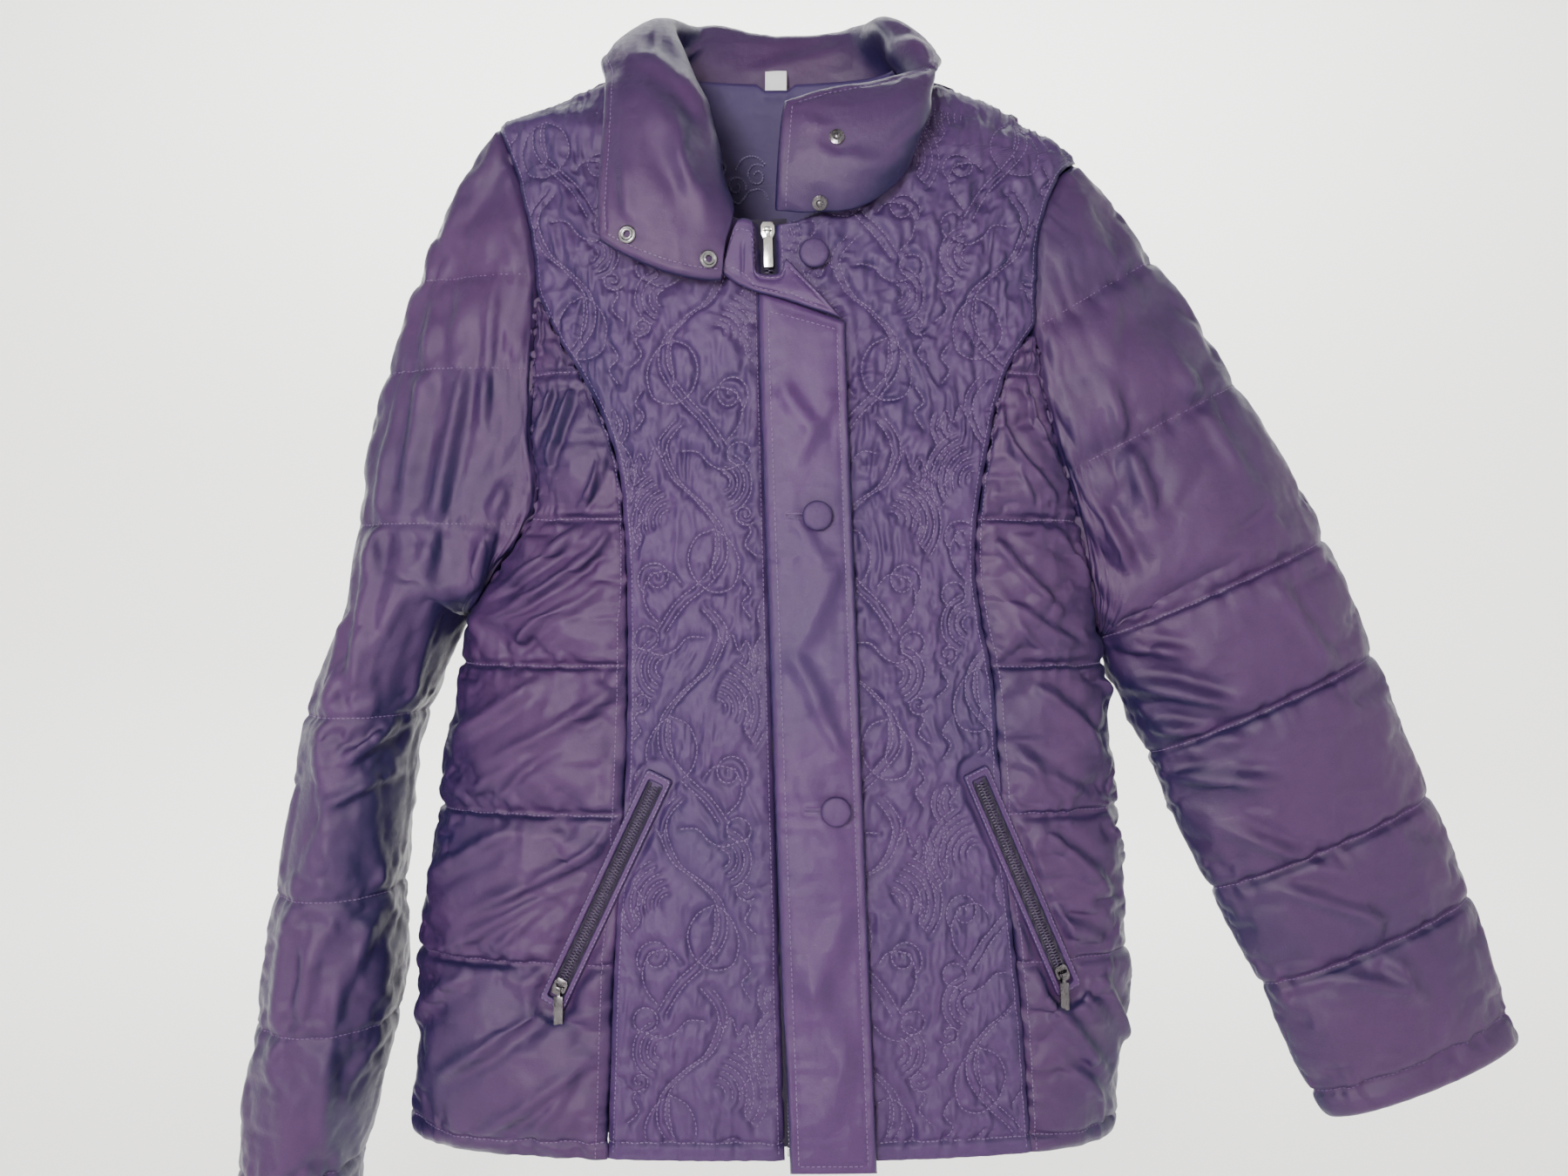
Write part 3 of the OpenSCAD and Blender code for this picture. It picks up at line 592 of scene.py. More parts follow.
class Shader:
    """A Principled material being wired up; its coordinates are the object's own, in metres."""

    def __init__(self, name, **sockets):
        self.material = bpy.data.materials.new(name)
        self.material.use_nodes = True
        self.tree = self.material.node_tree
        self.bsdf = self.tree.nodes["Principled BSDF"]
        for key, value in sockets.items():
            self.bsdf.inputs[key.replace("_", " ")].default_value = value
        self.place = self.add("TexCoord", [], "Object")

    def add(self, kind, values, out=0, **settings):
        node = self.tree.nodes.new("ShaderNode" + kind)
        for key, value in settings.items():
            setattr(node, key, value)
        pairs = values.items() if isinstance(values, dict) else enumerate(values)
        for key, value in pairs:
            if isinstance(value, bpy.types.NodeSocket):
                self.tree.links.new(value, node.inputs[key])
            elif value is not None:
                node.inputs[key].default_value = value
        return node.outputs[out]

    def noise(self, scale, detail=2.0, rough=0.5, stretch=(1, 1, 1)):
        where = self.add("Mapping", {"Vector": self.place, "Scale": stretch})
        return self.add("TexNoise", {"Vector": where, "Scale": scale, "Detail": detail,
                                     "Roughness": rough}, "Fac")

    def math(self, operation, *values):
        return self.add("Math", list(values), operation=operation)

    def mix(self, fac, a, b):
        return self.add("Mix", {0: fac, 6: (*a, 1) if isinstance(a, tuple) else a,
                                7: (*b, 1) if isinstance(b, tuple) else b}, 2, data_type="RGBA")

    def remap(self, value, low, high, to_low=0.0, to_high=1.0):
        return self.add("MapRange", {"Value": value, "From Min": low, "From Max": high,
                                     "To Min": to_low, "To Max": to_high})

    def colour(self, socket):
        self.tree.links.new(socket, self.bsdf.inputs["Base Color"])

    def roughness(self, socket):
        self.tree.links.new(socket, self.bsdf.inputs["Roughness"])

    def bump(self, height, distance, strength=1.0):
        n = self.add("Bump", {"Height": height, "Distance": distance, "Strength": strength}, "Normal")
        self.tree.links.new(n, self.bsdf.inputs["Normal"])

    def weave(self, pitch):
        """Crossing threads: +1 on a warp float and -1 on a weft float."""
        x, y, z = (self.add("SeparateXYZ", [self.place], k) for k in range(3))
        turn = 2 * math.pi / pitch
        across = self.math("SINE", self.math("MULTIPLY", self.math("ADD", x, y), turn))
        up = self.math("SINE", self.math("MULTIPLY", self.math("ADD", z, y), turn))
        return self.math("MULTIPLY", across, up)


def shot_taffeta_painted_shade(name, plum, blue, rough, sheen=0.02):
    """Crisp taffeta whose warp and weft differ in colour, with painted light and shade: faces turned to the
    front or back get the lighter plum, and leaning faces turn to the darker blue.
    """
    s = Shader(name, Specular_IOR_Level=0.28, Sheen_Weight=sheen, Sheen_Roughness=0.35,
               Sheen_Tint=(0.62, 0.48, 0.85, 1))
    # painted light and shade: the mix follows the normal's Y part, lighter plum where the cloth faces front
    # or back and darker blue where it leans away
    n = s.add("NewGeometry", [], "Normal")
    level = s.math("ABSOLUTE", s.add("SeparateXYZ", [n], 1))
    cloudy = s.noise(9, 3)
    facing = s.math("ADD", level, s.remap(cloudy, 0.3, 0.7, -0.16, 0.16))
    facing = s.remap(facing, 0.45, 1.0)
    base = s.mix(facing, blue, plum)
    slub = s.noise(900, 2, 0.6, (1, 1, 2.6))
    grain = s.remap(slub, 0.3, 0.7, 0.7912, 1.0488)
    dusty = s.remap(s.noise(60, 4, 0.6), 0.35, 0.75, 0.94, 1.06)
    shade = s.math("MULTIPLY", grain, dusty)
    s.colour(s.add("Mix", {0: 1.0, 6: base, 7: s.add("CombineColor", [shade, shade, shade])}, 2,
                   data_type="RGBA", blend_type="MULTIPLY"))
    s.roughness(s.remap(s.noise(220, 3), 0.3, 0.7, rough - 0.06, rough + 0.09))
    crinkle = s.noise(170, 3, 0.55)
    threads = s.math("ADD", s.math("MULTIPLY", s.weave(0.0007), 0.06), s.math("MULTIPLY", slub, 0.16))
    s.bump(s.math("ADD", s.math("MULTIPLY", crinkle, 0.6), threads), 0.0011, 0.55)
    return s.material


def thread(name, colour):
    s = Shader(name, Specular_IOR_Level=0.35, Sheen_Weight=0.25, Sheen_Roughness=0.3)
    twist = s.noise(1600, 2)
    # painted shade: the colour darkens in the hollows of the twist, which also drives the bump
    s.colour(s.mix(s.remap(twist, 0.3, 0.7), tuple(c * 0.7 for c in colour), colour))
    s.roughness(s.remap(s.noise(500, 2), 0.3, 0.7, 0.42, 0.62))
    s.bump(twist, 0.0003, 0.6)
    return s.material


def lining_cloth(name, colour):
    s = Shader(name, Specular_IOR_Level=0.24, Sheen_Weight=0.03, Sheen_Roughness=0.4)
    s.colour(s.mix(s.remap(s.noise(25, 4), 0.3, 0.7), tuple(c * 0.82 for c in colour), colour))
    s.roughness(s.remap(s.noise(300, 2), 0.3, 0.7, 0.38, 0.52))
    s.bump(s.math("ADD", s.math("MULTIPLY", s.weave(0.0006), 0.1), s.noise(110, 3)), 0.0008, 0.4)
    return s.material


def satin(name, colour):
    s = Shader(name, Specular_IOR_Level=0.5, Sheen_Weight=0.2, Sheen_Roughness=0.3)
    rows = s.add("TexWave", {"Vector": s.place, "Scale": 700, "Distortion": 0.6, "Detail": 1.0}, "Fac",
                 bands_direction="Z")
    # painted shade: the colour is a tenth darker in the troughs of the rows that also drive the bump
    s.colour(s.mix(s.remap(rows, 0, 1), tuple(c * 0.9 for c in colour), colour))
    s.roughness(s.remap(rows, 0, 1, 0.3, 0.45))
    s.bump(rows, 0.0002, 0.5)
    return s.material


def webbing(name, colour):
    """Zip tape: a herringbone of fine ribs."""
    s = Shader(name, Specular_IOR_Level=0.3, Sheen_Weight=0.2, Sheen_Roughness=0.4)
    x, z = (s.add("SeparateXYZ", [s.place], k) for k in (0, 2))
    fold_x = s.add("Math", [x, 0.0022], operation="PINGPONG")
    ribs = s.math("SINE", s.math("MULTIPLY", s.math("ADD", fold_x, z), 2 * math.pi / 0.0011))
    # painted shade: the colour falls to six tenths in the troughs of the ribs that also drive the bump
    s.colour(s.mix(s.remap(ribs, -1, 1), tuple(c * 0.6 for c in colour), colour))
    s.roughness(s.remap(s.noise(400, 2), 0.3, 0.7, 0.6, 0.8))
    s.bump(ribs, 0.0004, 0.7)
    return s.material


def metal(name, colour, rough):
    """Plated die-cast metal with fine scratches and duller patches from handling."""
    s = Shader(name, Metallic=1.0)
    scratch = s.noise(900, 3, 0.6, (1, 1, 0.08))
    worn = s.noise(190, 4, 0.6)
    s.colour(s.mix(s.remap(worn, 0.35, 0.7), tuple(c * 0.8 for c in colour), colour))
    s.roughness(s.math("ADD", s.remap(scratch, 0.3, 0.7, rough - 0.05, rough + 0.07),
                       s.remap(worn, 0.5, 0.8, 0, 0.12)))
    s.bump(s.math("ADD", scratch, s.math("MULTIPLY", worn, 0.5)), 0.00015, 0.5)
    return s.material


def moulded(name, colour):
    s = Shader(name, Specular_IOR_Level=0.45)
    s.colour(s.mix(s.remap(s.noise(300, 2), 0.3, 0.7), tuple(c * 0.8 for c in colour), colour))
    s.roughness(s.remap(s.noise(700, 2), 0.3, 0.7, 0.3, 0.45))
    s.bump(s.noise(2000, 2), 0.0001, 0.4)
    return s.material


def studio(name, colour):
    s = Shader(name, Specular_IOR_Level=0.2, Roughness=0.75)
    s.colour(s.mix(s.noise(2, 3), tuple(c * 0.985 for c in colour), colour))
    return s.material


# plum is the lighter colour painted where the cloth faces front or back, and blue the darker colour painted
# where it leans: the weave's two colours used as painted light and shade
TAFFETA = shot_taffeta_painted_shade("shot_taffeta_painted_shade", (0.049, 0.0175, 0.070), (0.015, 0.010, 0.048), 0.38)
QUILTED = shot_taffeta_painted_shade("quilted_taffeta", (0.051, 0.021, 0.084), (0.019, 0.013, 0.058), 0.43)
TRIM = shot_taffeta_painted_shade("flap_taffeta", (0.056, 0.0205, 0.086), (0.019, 0.013, 0.058), 0.36)
BUTTON_CLOTH = shot_taffeta_painted_shade("button_taffeta", (0.053, 0.021, 0.082), (0.022, 0.013, 0.058), 0.48, 0.03)
LINING = lining_cloth("lining_taffeta", (0.026, 0.016, 0.050))
FACING_CLOTH = lining_cloth("facing_taffeta", (0.036, 0.020, 0.082))
# the thread is lighter than the cloth: partly its own colour and partly a painted highlight, so that the
# stitches show as light dots
THREAD = thread("sewing_thread", (0.17, 0.105, 0.24))
EMBROIDERY = thread("embroidery_thread", (0.20, 0.15, 0.33))
LABEL = satin("label_satin", (0.78, 0.77, 0.80))
TAPE = webbing("zip_tape", (0.022, 0.014, 0.036))
TEETH = moulded("zip_teeth_plastic", (0.028, 0.018, 0.045))
DARK_METAL = metal("dark_metal", (0.13, 0.12, 0.13), 0.24)
BRIGHT_METAL = metal("bright_metal", (0.62, 0.60, 0.58), 0.22)
SNAP_METAL = metal("snap_metal", (0.24, 0.23, 0.24), 0.2)
STUDIO = studio("studio_paper", (0.90, 0.89, 0.87))


# ---------------------------------------------------------------- body panels

def seam_groove(d, depth=2.0, width=2.1):
    return -depth * np.exp(-(d / width) ** 2)


def pillow(d, reach=20.0, height=4.6):
    """Rise of padded cloth at a distance d from the stitches that hold it down."""
    return height * (1 - np.exp(-d / reach))


def upright(z0, z1, step):
    return np.linspace(z0, z1, int(round((z1 - z0) / step)) + 1)


def lined(name, panel, material, replaces):
    obj = slab(name, panel.skin, panel.base - normals(panel.base, panel.n) * PAD_T)
    finish_piece(obj, material, "torso", replaces)


def quilted_front(side):
    word = "right" if side == R else "left"
    p = Panel(FRONT, upright(HEM, -2, 1.2),
              lambda z: front_edge(side, z, ZIP_GAP), lambda z: princess_edge(side, z), 108)
    zip_side, seam_side = (p.across, p.width - p.across) if side == L else (p.width - p.across, p.across)

    def keep(x, z):
        a, b = front_edge(side, z, 7), princess_edge(side, z)
        inside = np.minimum(side * (x - a), side * (b - x)) > 4.5
        clear = pocket_distance(side, x, z) > 13
        return inside & clear & (z > HEM + 13) & (z < -8 - 0.15 * np.abs(x))

    x_low, x_high = (-125, -10) if side == R else (4, 175)
    lines = scrolls(side, x_low, x_high, HEM, 0, keep)
    d, s = nearest(lines, p.x, p.h)
    loose = 0.8 if side == R else 1.15
    height = pillow(d, 3.6, 2.7) - 0.4 - 0.8 * np.exp(-(d / 0.8) ** 2)
    # the padding is drawn up across the stitches, most of all at the chest
    top = 0.35 + 0.65 * np.clip((p.h + 420) / 240, 0, 1)
    height = height + top * loose * gathers(s * 1.25, d, 11 + side, 0.85)
    height = height + crumple(p.x, p.h, 21 + side, 1.3 * loose)
    bent = p.x + 9 * noise(p.x / 48, p.h / 48, 3)
    height = height + 1.75 * loose * top * crease(bent / 5.4, p.h / 30, 41) * np.clip(d / 3, 0.3, 1)
    height = height + 0.8 * loose * noise(bent / 2.4, p.h / 6.0, 43) * np.clip(d / 2, 0.3, 1)
    height = height * np.clip(p.edge / 9, 0.25, 1) * (1 - 0.55 * np.clip((p.h + 85) / 55, 0, 1))
    for edge, seed in ((seam_side, 51), (zip_side, 53)):
        height = height + gathers(p.down, edge, seed + side, 0.75) + seam_groove(edge)
    hem = p.h - HEM
    height = height * np.clip(hem / 12, 0.3, 1) + seam_groove(hem - HEM_STITCH, 2.2, 1.6)
    height = height + gathers(p.x, hem - HEM_STITCH, 61 + side, 0.9)
    height = np.where(hem < HEM_STITCH, height + 1.2, height)
    p.raise_by(pocket_recess(side, p.x, p.h, height))
    lined(f"{word}_quilted_front", p, QUILTED,
          (f"{word}_quilted_front_shell", f"{word}_quilted_front_wadding"))
    paths = [p.path(*even(stitches, 2.0).T) for stitches in lines]
    z = upright(HEM + 4, -12, 3)
    for edge, inset in ((princess_edge(side, z), -side * 4.0), (front_edge(side, z, ZIP_GAP), side * 4.0)):
        paths.append(p.path(edge + inset, z))
    z = HEM + HEM_STITCH
    x = np.linspace(*sorted((front_edge(side, z, ZIP_GAP), princess_edge(side, z))), 30)
    paths.append(p.path(x, np.full_like(x, z)))
    dashes(f"{word}_quilting_stitches", paths, THREAD, "torso", 2.3, 0.9, 0.7, 0.22)


SIDE_FOLDS = {   # each cell's drag folds: start and end as shares of the cell, width, height
    R: [((0.95, 0.98), (0.25, 0.30), 6, 4.6), ((0.98, 0.62), (0.40, 0.02), 6, 3.6),
        ((0.55, 1.00), (0.02, 0.45), 7, 4.0), ((0.80, 0.45), (0.55, 0.05), 4, 2.4)],
    L: [((0.05, 0.95), (0.60, 0.30), 6, 4.2), ((0.10, 0.55), (0.75, 0.05), 6, 3.6),
        ((0.55, 0.98), (0.98, 0.40), 6, 4.2), ((0.30, 0.40), (0.50, 0.02), 4, 2.4)]}


def cell_folds(p, cells, side):
    """Drag folds that run from the upper inner corner of each cell to its lower outer corner."""
    height = np.zeros(p.base.shape[:2])
    u = p.across / p.width
    width_mm = float(p.width.mean())
    for k, (z0, z1) in enumerate(cells):
        for j, (a, b, w, h) in enumerate(SIDE_FOLDS[side]):
            sway = 0.12 * math.sin(7.3 * k + 2.9 * j)
            size = 0.75 + 0.45 * math.sin(3.1 * k + 1.7 * j + side) ** 2
            q = [((c[0] + sway) * width_mm, z0 + c[1] * (z1 - z0)) for c in (a, b)]
            height = height + fold(u * width_mm, p.h, *q, w * (0.62 + size * 0.16), h * size, 40 * sway)
    return height


def side_front(side):
    word = "right" if side == R else "left"
    top = PRINCESS_TOP[side] - 9
    p = Panel(FRONT, upright(HEM, top, 5.2),
              lambda z: princess_edge(side, z), lambda z: outer_edge(side, z), 30)
    rows = [z for z in QUILT_ROWS if z < top - 20]
    pinned = pinned_rows(p, rows, 2.7) | (pocket_distance(side, p.x, p.h) < 13)
    p.swell(pinned, 0.032, 3.2, 18, 3)
    cells = list(zip([HEM] + rows, rows + [top]))
    d = np.min([np.abs(p.h - z) for z in rows], axis=0)
    soft = np.minimum(d, np.minimum(p.edge, np.abs(p.h - HEM) + 4))
    rise = 2.6
    height = pillow(soft, 16, rise) + seam_groove(d, 1.9, 2.2) + seam_groove(p.edge, 2.2, 2.6)
    height = height + cell_folds(p, cells, side) * np.clip(soft / 14, 0, 1)
    height = height + gathers(p.x, d, 71 + side, 0.95) + gathers(p.down, p.edge, 73 + side, 0.9)
    height = height + crumple(p.x, p.h, 75 + side, 1.1) * np.clip(soft / 10, 0.2, 1)
    hem = p.h - HEM
    height = np.where(hem < HEM_STITCH, 1.4, height) + seam_groove(hem - HEM_STITCH, 2.2, 1.6)
    height = height + gathers(p.x, hem - HEM_STITCH, 77 + side, 0.9)
    p.raise_by(pocket_recess(side, p.x, p.h, height))
    lined(f"{word}_side_front", p, TAFFETA,
          (f"{word}_side_front_shell", f"{word}_side_front_wadding"))
    paths = [p.level(z) for z in rows + [HEM + HEM_STITCH]]
    m, n = p.skin.shape[:2]
    paths.append(trace(p.skin, p.n, np.arange(1, m - 2), 2.4 if side == L else n - 3.4))
    dashes(f"{word}_side_front_stitches", paths, THREAD, "torso", 2.4, 0.8, 0.62, 0.12)


def back_panel(name, z0, z1, nodes, seed):
    p = Panel(BACK, upright(z0, z1, 6), lambda z: outer_edge(R, z), lambda z: outer_edge(L, z), 86)
    rows = [z for z in QUILT_ROWS if z0 + 10 < z < z1 - 10]
    p.swell(pinned_rows(p, rows, 3.1), 0.03, 3.0, 16, 2)
    held = rows + [z1] + ([z0] if z0 > HEM else [])
    d = np.min([np.abs(p.h - z) for z in held], axis=0)
    soft = np.minimum(d, p.edge)
    rise = 3.0
    height = pillow(soft, 18, rise) + seam_groove(d, 2.0, 2.6) + seam_groove(p.edge, 2.2, 3)
    for k in range(16):
        x0 = -190 + 380 * ((k * 0.618) % 1)
        zc = z0 + (z1 - z0) * ((k * 0.381 + 0.13) % 1)
        x1 = x0 + 70 * math.sin(2.2 * k)
        height = height + fold(p.x, p.h, (x0, zc + 40), (x1, zc - 45), 9, 2.4) * np.clip(soft / 14, 0, 1)
    height = height + gathers(p.x, d, seed, 0.9) + gathers(p.down, p.edge, seed + 2, 0.9)
    height = height + crumple(p.x, p.h, seed + 4, 1.1) * np.clip(soft / 10, 0.2, 1)
    hem = p.h - HEM
    height = np.where(hem < HEM_STITCH, 1.4, height) + seam_groove(hem - HEM_STITCH, 2.2, 1.8)
    p.raise_by(height)
    lined(name, p, TAFFETA, nodes)
    levels = rows + [HEM + HEM_STITCH if z0 == HEM else z0 + 5]
    dashes(f"{name}_stitches", [p.level(z) for z in levels], THREAD, "torso", 2.4, 0.8, 0.62, 0.12)


for side in (R, L):
    quilted_front(side)
    side_front(side)
back_panel("back_body", HEM, PRINCESS_TOP[R], ("back_body_shell", "back_body_wadding"), 81)
back_panel("back_yoke", PRINCESS_TOP[R] + 0.4, 12, ("back_yoke_shell", "back_yoke_wadding"), 91)


# ---------------------------------------------------------------- sleeves

RINGS = {R: [(-266, -368, 40, 62, 12), (-298, -449, 38, 62, 9), (-306, -506, 39, 60, 8),
             (-316, -570, 42, 57, 7), (-322, -640, 47, 54, 8), (-334, -704, 45, 52, 9),
             (-345, -763, 41, 50, 6), (-347, -791, 40, 50, 3)],
         L: [(305, -357, 89, 34, 24), (341, -439, 88, 30, 24), (384, -538, 85, 27, 23.5),
             (417, -608, 81, 25, 23.5), (448, -688, 76, 24, 23), (459, -707, 74, 24, 22.5)]}
BULGE = {R: 46, L: 18}


def ring_line(side, ring):
    x, z, w, _, tilt = RINGS[side][ring]
    dx, dz = side * w * math.cos(math.radians(tilt)), w * math.sin(math.radians(tilt))
    return (x - dx, z - dz), (x + dx, z + dz)


SLEEVE_ROWS = {R: [((-400, z), (-200, z)) for z in (-141, -206, -313, -444, -569, -662)],
               L: [((214, -153), (258, -126)), ((222, -263), (313, -216))]
               + [ring_line(L, k) for k in range(4)]}
CUFF_ROW = {R: ((-400, -765), (-300, -763)), L: ring_line(L, 4)}


def armhole_ring(side, a, inset):
    s, c = np.sin(a), np.cos(a)
    z = TIP[side] + (1 - s) / 2 * (PIT[side] - TIP[side])
    angle = angle_at(armhole[side](z), z)
    p = np.where((c < 0)[:, None], body_point(FRONT, angle, z, -inset), body_point(BACK, angle, z, -inset))
    p[:, 0] += side * 0.6
    p[:, 2] -= inset * s
    return p


def sleeve_ring(side, ring, a, inset):
    x, z, w, d, tilt = ring
    tilt = math.radians(tilt)
    out = np.array([side * math.cos(tilt), 0, math.sin(tilt)])
    return (np.array([x, 0, z]) + (w - inset) * np.sin(a)[:, None] * out
            + np.array([0, 1, 0]) * ((d - inset) * np.cos(a))[:, None])


def sleeve_grid(side, inset, cols, step):
    """Rings of points from the armhole to the end of the sleeve, about step apart."""
    a = math.pi / 2 + np.arange(cols) * 2 * math.pi / cols
    p, q = armhole_ring(side, a, inset), sleeve_ring(side, RINGS[side][0], a, inset)
    lift = BULGE[side] * np.maximum(0, np.sin(a))[:, None] * np.array([side * 0.9, 0, 0.43])
    c = (p + q) / 2 + lift
    rows = [(1 - t) ** 2 * p + 2 * t * (1 - t) * c + t * t * q for t in np.linspace(0, 0.86, 7)]
    rows += [sleeve_ring(side, ring, a, inset) for ring in RINGS[side]]
    fine = refine_rows(np.array(rows), 12)
    run = arc_lengths(fine, 0).mean(axis=1)
    wanted = np.linspace(0, run[-1], int(run[-1] / step) + 1)
    v = np.interp(wanted, run, np.arange(len(fine)))
    i = np.minimum(np.floor(v).astype(int), len(fine) - 2)
    f = (v - i)[:, None, None]
    return fine[i] * (1 - f) + fine[i + 1] * f


def line_distance(p, ends):
    (x0, z0), (x1, z1) = ends
    t = unit(np.array([x1 - x0, z1 - z0]))
    return (p[..., 0] - x0) * -t[1] + (p[..., 2] - z0) * t[0]


SLEEVE_FOLDS = {   # drag folds on the front and the back: start, end, width, height
    R: [((-184, -270), (-232, -410), 9, 6), ((-212, -170), (-246, -372), 8, 5),
        ((-236, -120), (-262, -330), 10, 4), ((-262, -190), (-292, -450), 9, 5),
        ((-286, -300), (-318, -520), 10, 3.6), ((-250, -400), (-262, -520), 7, 5),
        ((-258, -440), (-300, -478), 8, 5.5), ((-262, -478), (-312, -505), 7, 4.5),
        ((-268, -520), (-300, -640), 9, 4), ((-330, -540), (-352, -700), 10, 3.6),
        ((-300, -600), (-318, -740), 9, 3.4), ((-196, -130), (-208, -262), 7, 3.2)],
    L: [((222, -390), (286, -404), 8, 6), ((238, -420), (318, -438), 9, 6.5),
        ((252, -452), (330, -462), 8, 6), ((262, -486), (352, -492), 9, 4.5),
        ((215, -200), (262, -330), 10, 4.2), ((260, -180), (330, -300), 11, 3.4),
        ((300, -520), (390, -556), 9, 4.2), ((330, -560), (430, -592), 9, 3.8),
        ((360, -620), (450, -640), 8, 3.6), ((212, -290), (246, -352), 8, 5),
        ((330, -340), (392, -430), 10, 3.0), ((390, -560), (450, -655), 11, 3.0)]}


def sleeve(side):
    word = "right" if side == R else "left"
    cols = 54 if side == R else 64
    base = sleeve_grid(side, 0, cols, 6.4)
    centre_line = base.mean(axis=1, keepdims=True)
    pinned = np.zeros(base.shape[:2], bool)
    pinned[:2] = pinned[-1:] = True
    pinned[:, cols // 2] = True
    for ends in SLEEVE_ROWS[side] + [CUFF_ROW[side]]:
        pinned |= np.abs(line_distance(base, ends)) < 3.3
    away = unit(base - centre_line)
    growth = 0.009 if side == R else 0.018
    base = refine(billow(base - away, away, pinned, growth, 3.4, 16, 1.5, wrap=True), 3, 3, wrap=True)
    inner = refine(sleeve_grid(side, PAD_T, cols, 6.4), 3, 3, wrap=True)
    # the inner side is shorter, so its last ring is repeated
    inner = inner[np.clip(np.arange(len(base)), 0, len(inner) - 1)]
    centre_line = base.mean(axis=1, keepdims=True)
    n = normals(base, base - centre_line, wrap=True)
    x, z = base[..., 0], base[..., 2]
    down = arc_lengths(base, 0)
    end = down[-1:] - down
    around = arc_lengths(base, 1)
    front, rear = np.clip(-n[..., 1] * 1.6, 0, 1), np.clip(n[..., 1] * 1.6, 0, 1)
    d = np.min([np.abs(line_distance(base, ends)) for ends in SLEEVE_ROWS[side]], axis=0)
    cuff = np.abs(line_distance(base, CUFF_ROW[side]))
    d_in = np.minimum(np.minimum(d, cuff), down)
    puff = 2.0 if side == R else 2.8
    height = pillow(d_in, 17, puff) + seam_groove(d, 1.6 if side == R else 2.0, 2.2)
    height = height + seam_groove(cuff, 2.4, 2.0) + seam_groove(down, 2.4, 1.6)
    soft = np.clip(d_in / 12, 0.15, 1)
    for p, q, width, size in SLEEVE_FOLDS[side]:
        height = height + fold(x, z, p, q, width * 0.62, size * 1.2) * front * soft
        height = height + fold(-x, z, (-p[0] * 0.97, p[1] - 24), (-q[0] * 0.97, q[1] - 24),
                               width * 0.75, size * 0.8) * rear * soft
    height = height + gathers(around, d, 101 + side, 1.0) + gathers(around, cuff, 103 + side, 1.2)
    height = height + gathers(around, down, 105 + side, 1.1)
    height = height + crumple(x + 0.6 * base[..., 1], z, 107 + side, 1.25) * soft
    height = np.where(end < 16, np.minimum(height, 1.6), height)
    height = height - 2.2 * np.exp(-end / 1.6)
    skin = base + n * height[..., None]
    obj = slab(f"{word}_sleeve", skin, inner, wrap=True)
    finish_piece(obj, TAFFETA, SLEEVE_BODY[side],
                 (f"{word}_sleeve_front_shell", f"{word}_sleeve_back_shell", f"{word}_sleeve_wadding"))
    outer_n = normals(skin, skin - centre_line, wrap=True)
    paths = []
    for ends in SLEEVE_ROWS[side] + [CUFF_ROW[side]]:
        dist = line_distance(base, ends)
        cross = (dist[:-1] > 0) != (dist[1:] > 0)
        met = cross.any(axis=0)      # the columns that the row of stitches crosses
        i, j = np.argmax(cross, axis=0), np.arange(skin.shape[1])
        f = dist[i, j] / (dist[i, j] - dist[i + 1, j] + 1e-9)
        run = np.nonzero(met)[0]
        if len(run) < 6:
            continue
        if met.all():
            run = np.append(run, run[:1])
        else:
            gap = np.argmax(np.diff(run)) if (np.diff(run) > 1).any() else -1
            run = np.roll(run, -(gap + 1))
        share = np.clip(f[run], 0, 1)[:, None]
        paths.append((skin[i[run], run] * (1 - share) + skin[i[run] + 1, run] * share,
                      outer_n[i[run], run]))
    dashes(f"{word}_sleeve_stitches", paths, THREAD, SLEEVE_BODY[side], 2.4, 0.8, 0.62, 0.12)
    # the hem of the sleeve, turned inside
    a = math.pi / 2 + np.arange(cols * 3) * 2 * math.pi / (cols * 3)
    last, before = RINGS[side][-1], RINGS[side][-2]
    along_mm = math.hypot(last[0] - before[0], last[1] - before[1])
    turn = [(2.2, 0.6), (3.0, -0.8), (5.0, -1.5), (8.0, -1.5), (10.5, -0.7), (12.0, 1.5), (12.6, 6),
            (12.6, 12), (12.6, 19)]
    rows = []
    for thick in (0, 1.0):
        rows.append([])
        for inset, up in turn:
            p0 = sleeve_ring(side, last, a, inset + thick * (1 if up > 1 else 0.3))
            p1 = sleeve_ring(side, before, a, inset + thick * (1 if up > 1 else 0.3))
            rows[-1].append(p0 + (p1 - p0) * ((up + (thick if up <= 1 else 0)) / along_mm))
    outer, inner = refine_rows(np.array(rows[0]), 3), refine_rows(np.array(rows[1]), 3)
    ripple = 0.35 * noise(np.arange(cols * 3) / 2.3, 0, 7)[None, :, None]
    outer = outer + unit(outer - outer.mean(axis=1, keepdims=True)) * ripple
    hem = slab(f"{word}_cuff_hem_turned", outer, inner, wrap=True)
    finish_piece(hem, TAFFETA, SLEEVE_BODY[side], (f"{word}_cuff_hem",))
    # the sleeve's lining
    tube = sleeve_grid(side, LINING_IN, 48, 9)[:-1]
    centre = tube.mean(axis=1, keepdims=True)
    wrinkle = 0.8 * noise(np.arange(48)[None, :] / 3.1 + 0 * tube[..., 0], tube[..., 2] / 40, 9)
    wrinkle[:, -1] = wrinkle[:, 0]
    tube = tube - unit(tube - centre) * np.abs(wrinkle)[..., None]
    inside = tube - unit(tube - centre) * LINING_T
    lining = slab(f"{word}_sleeve_lining_tube", tube, inside, wrap=True)
    finish_piece(lining, LINING, SLEEVE_BODY[side], (f"{word}_sleeve_lining",))


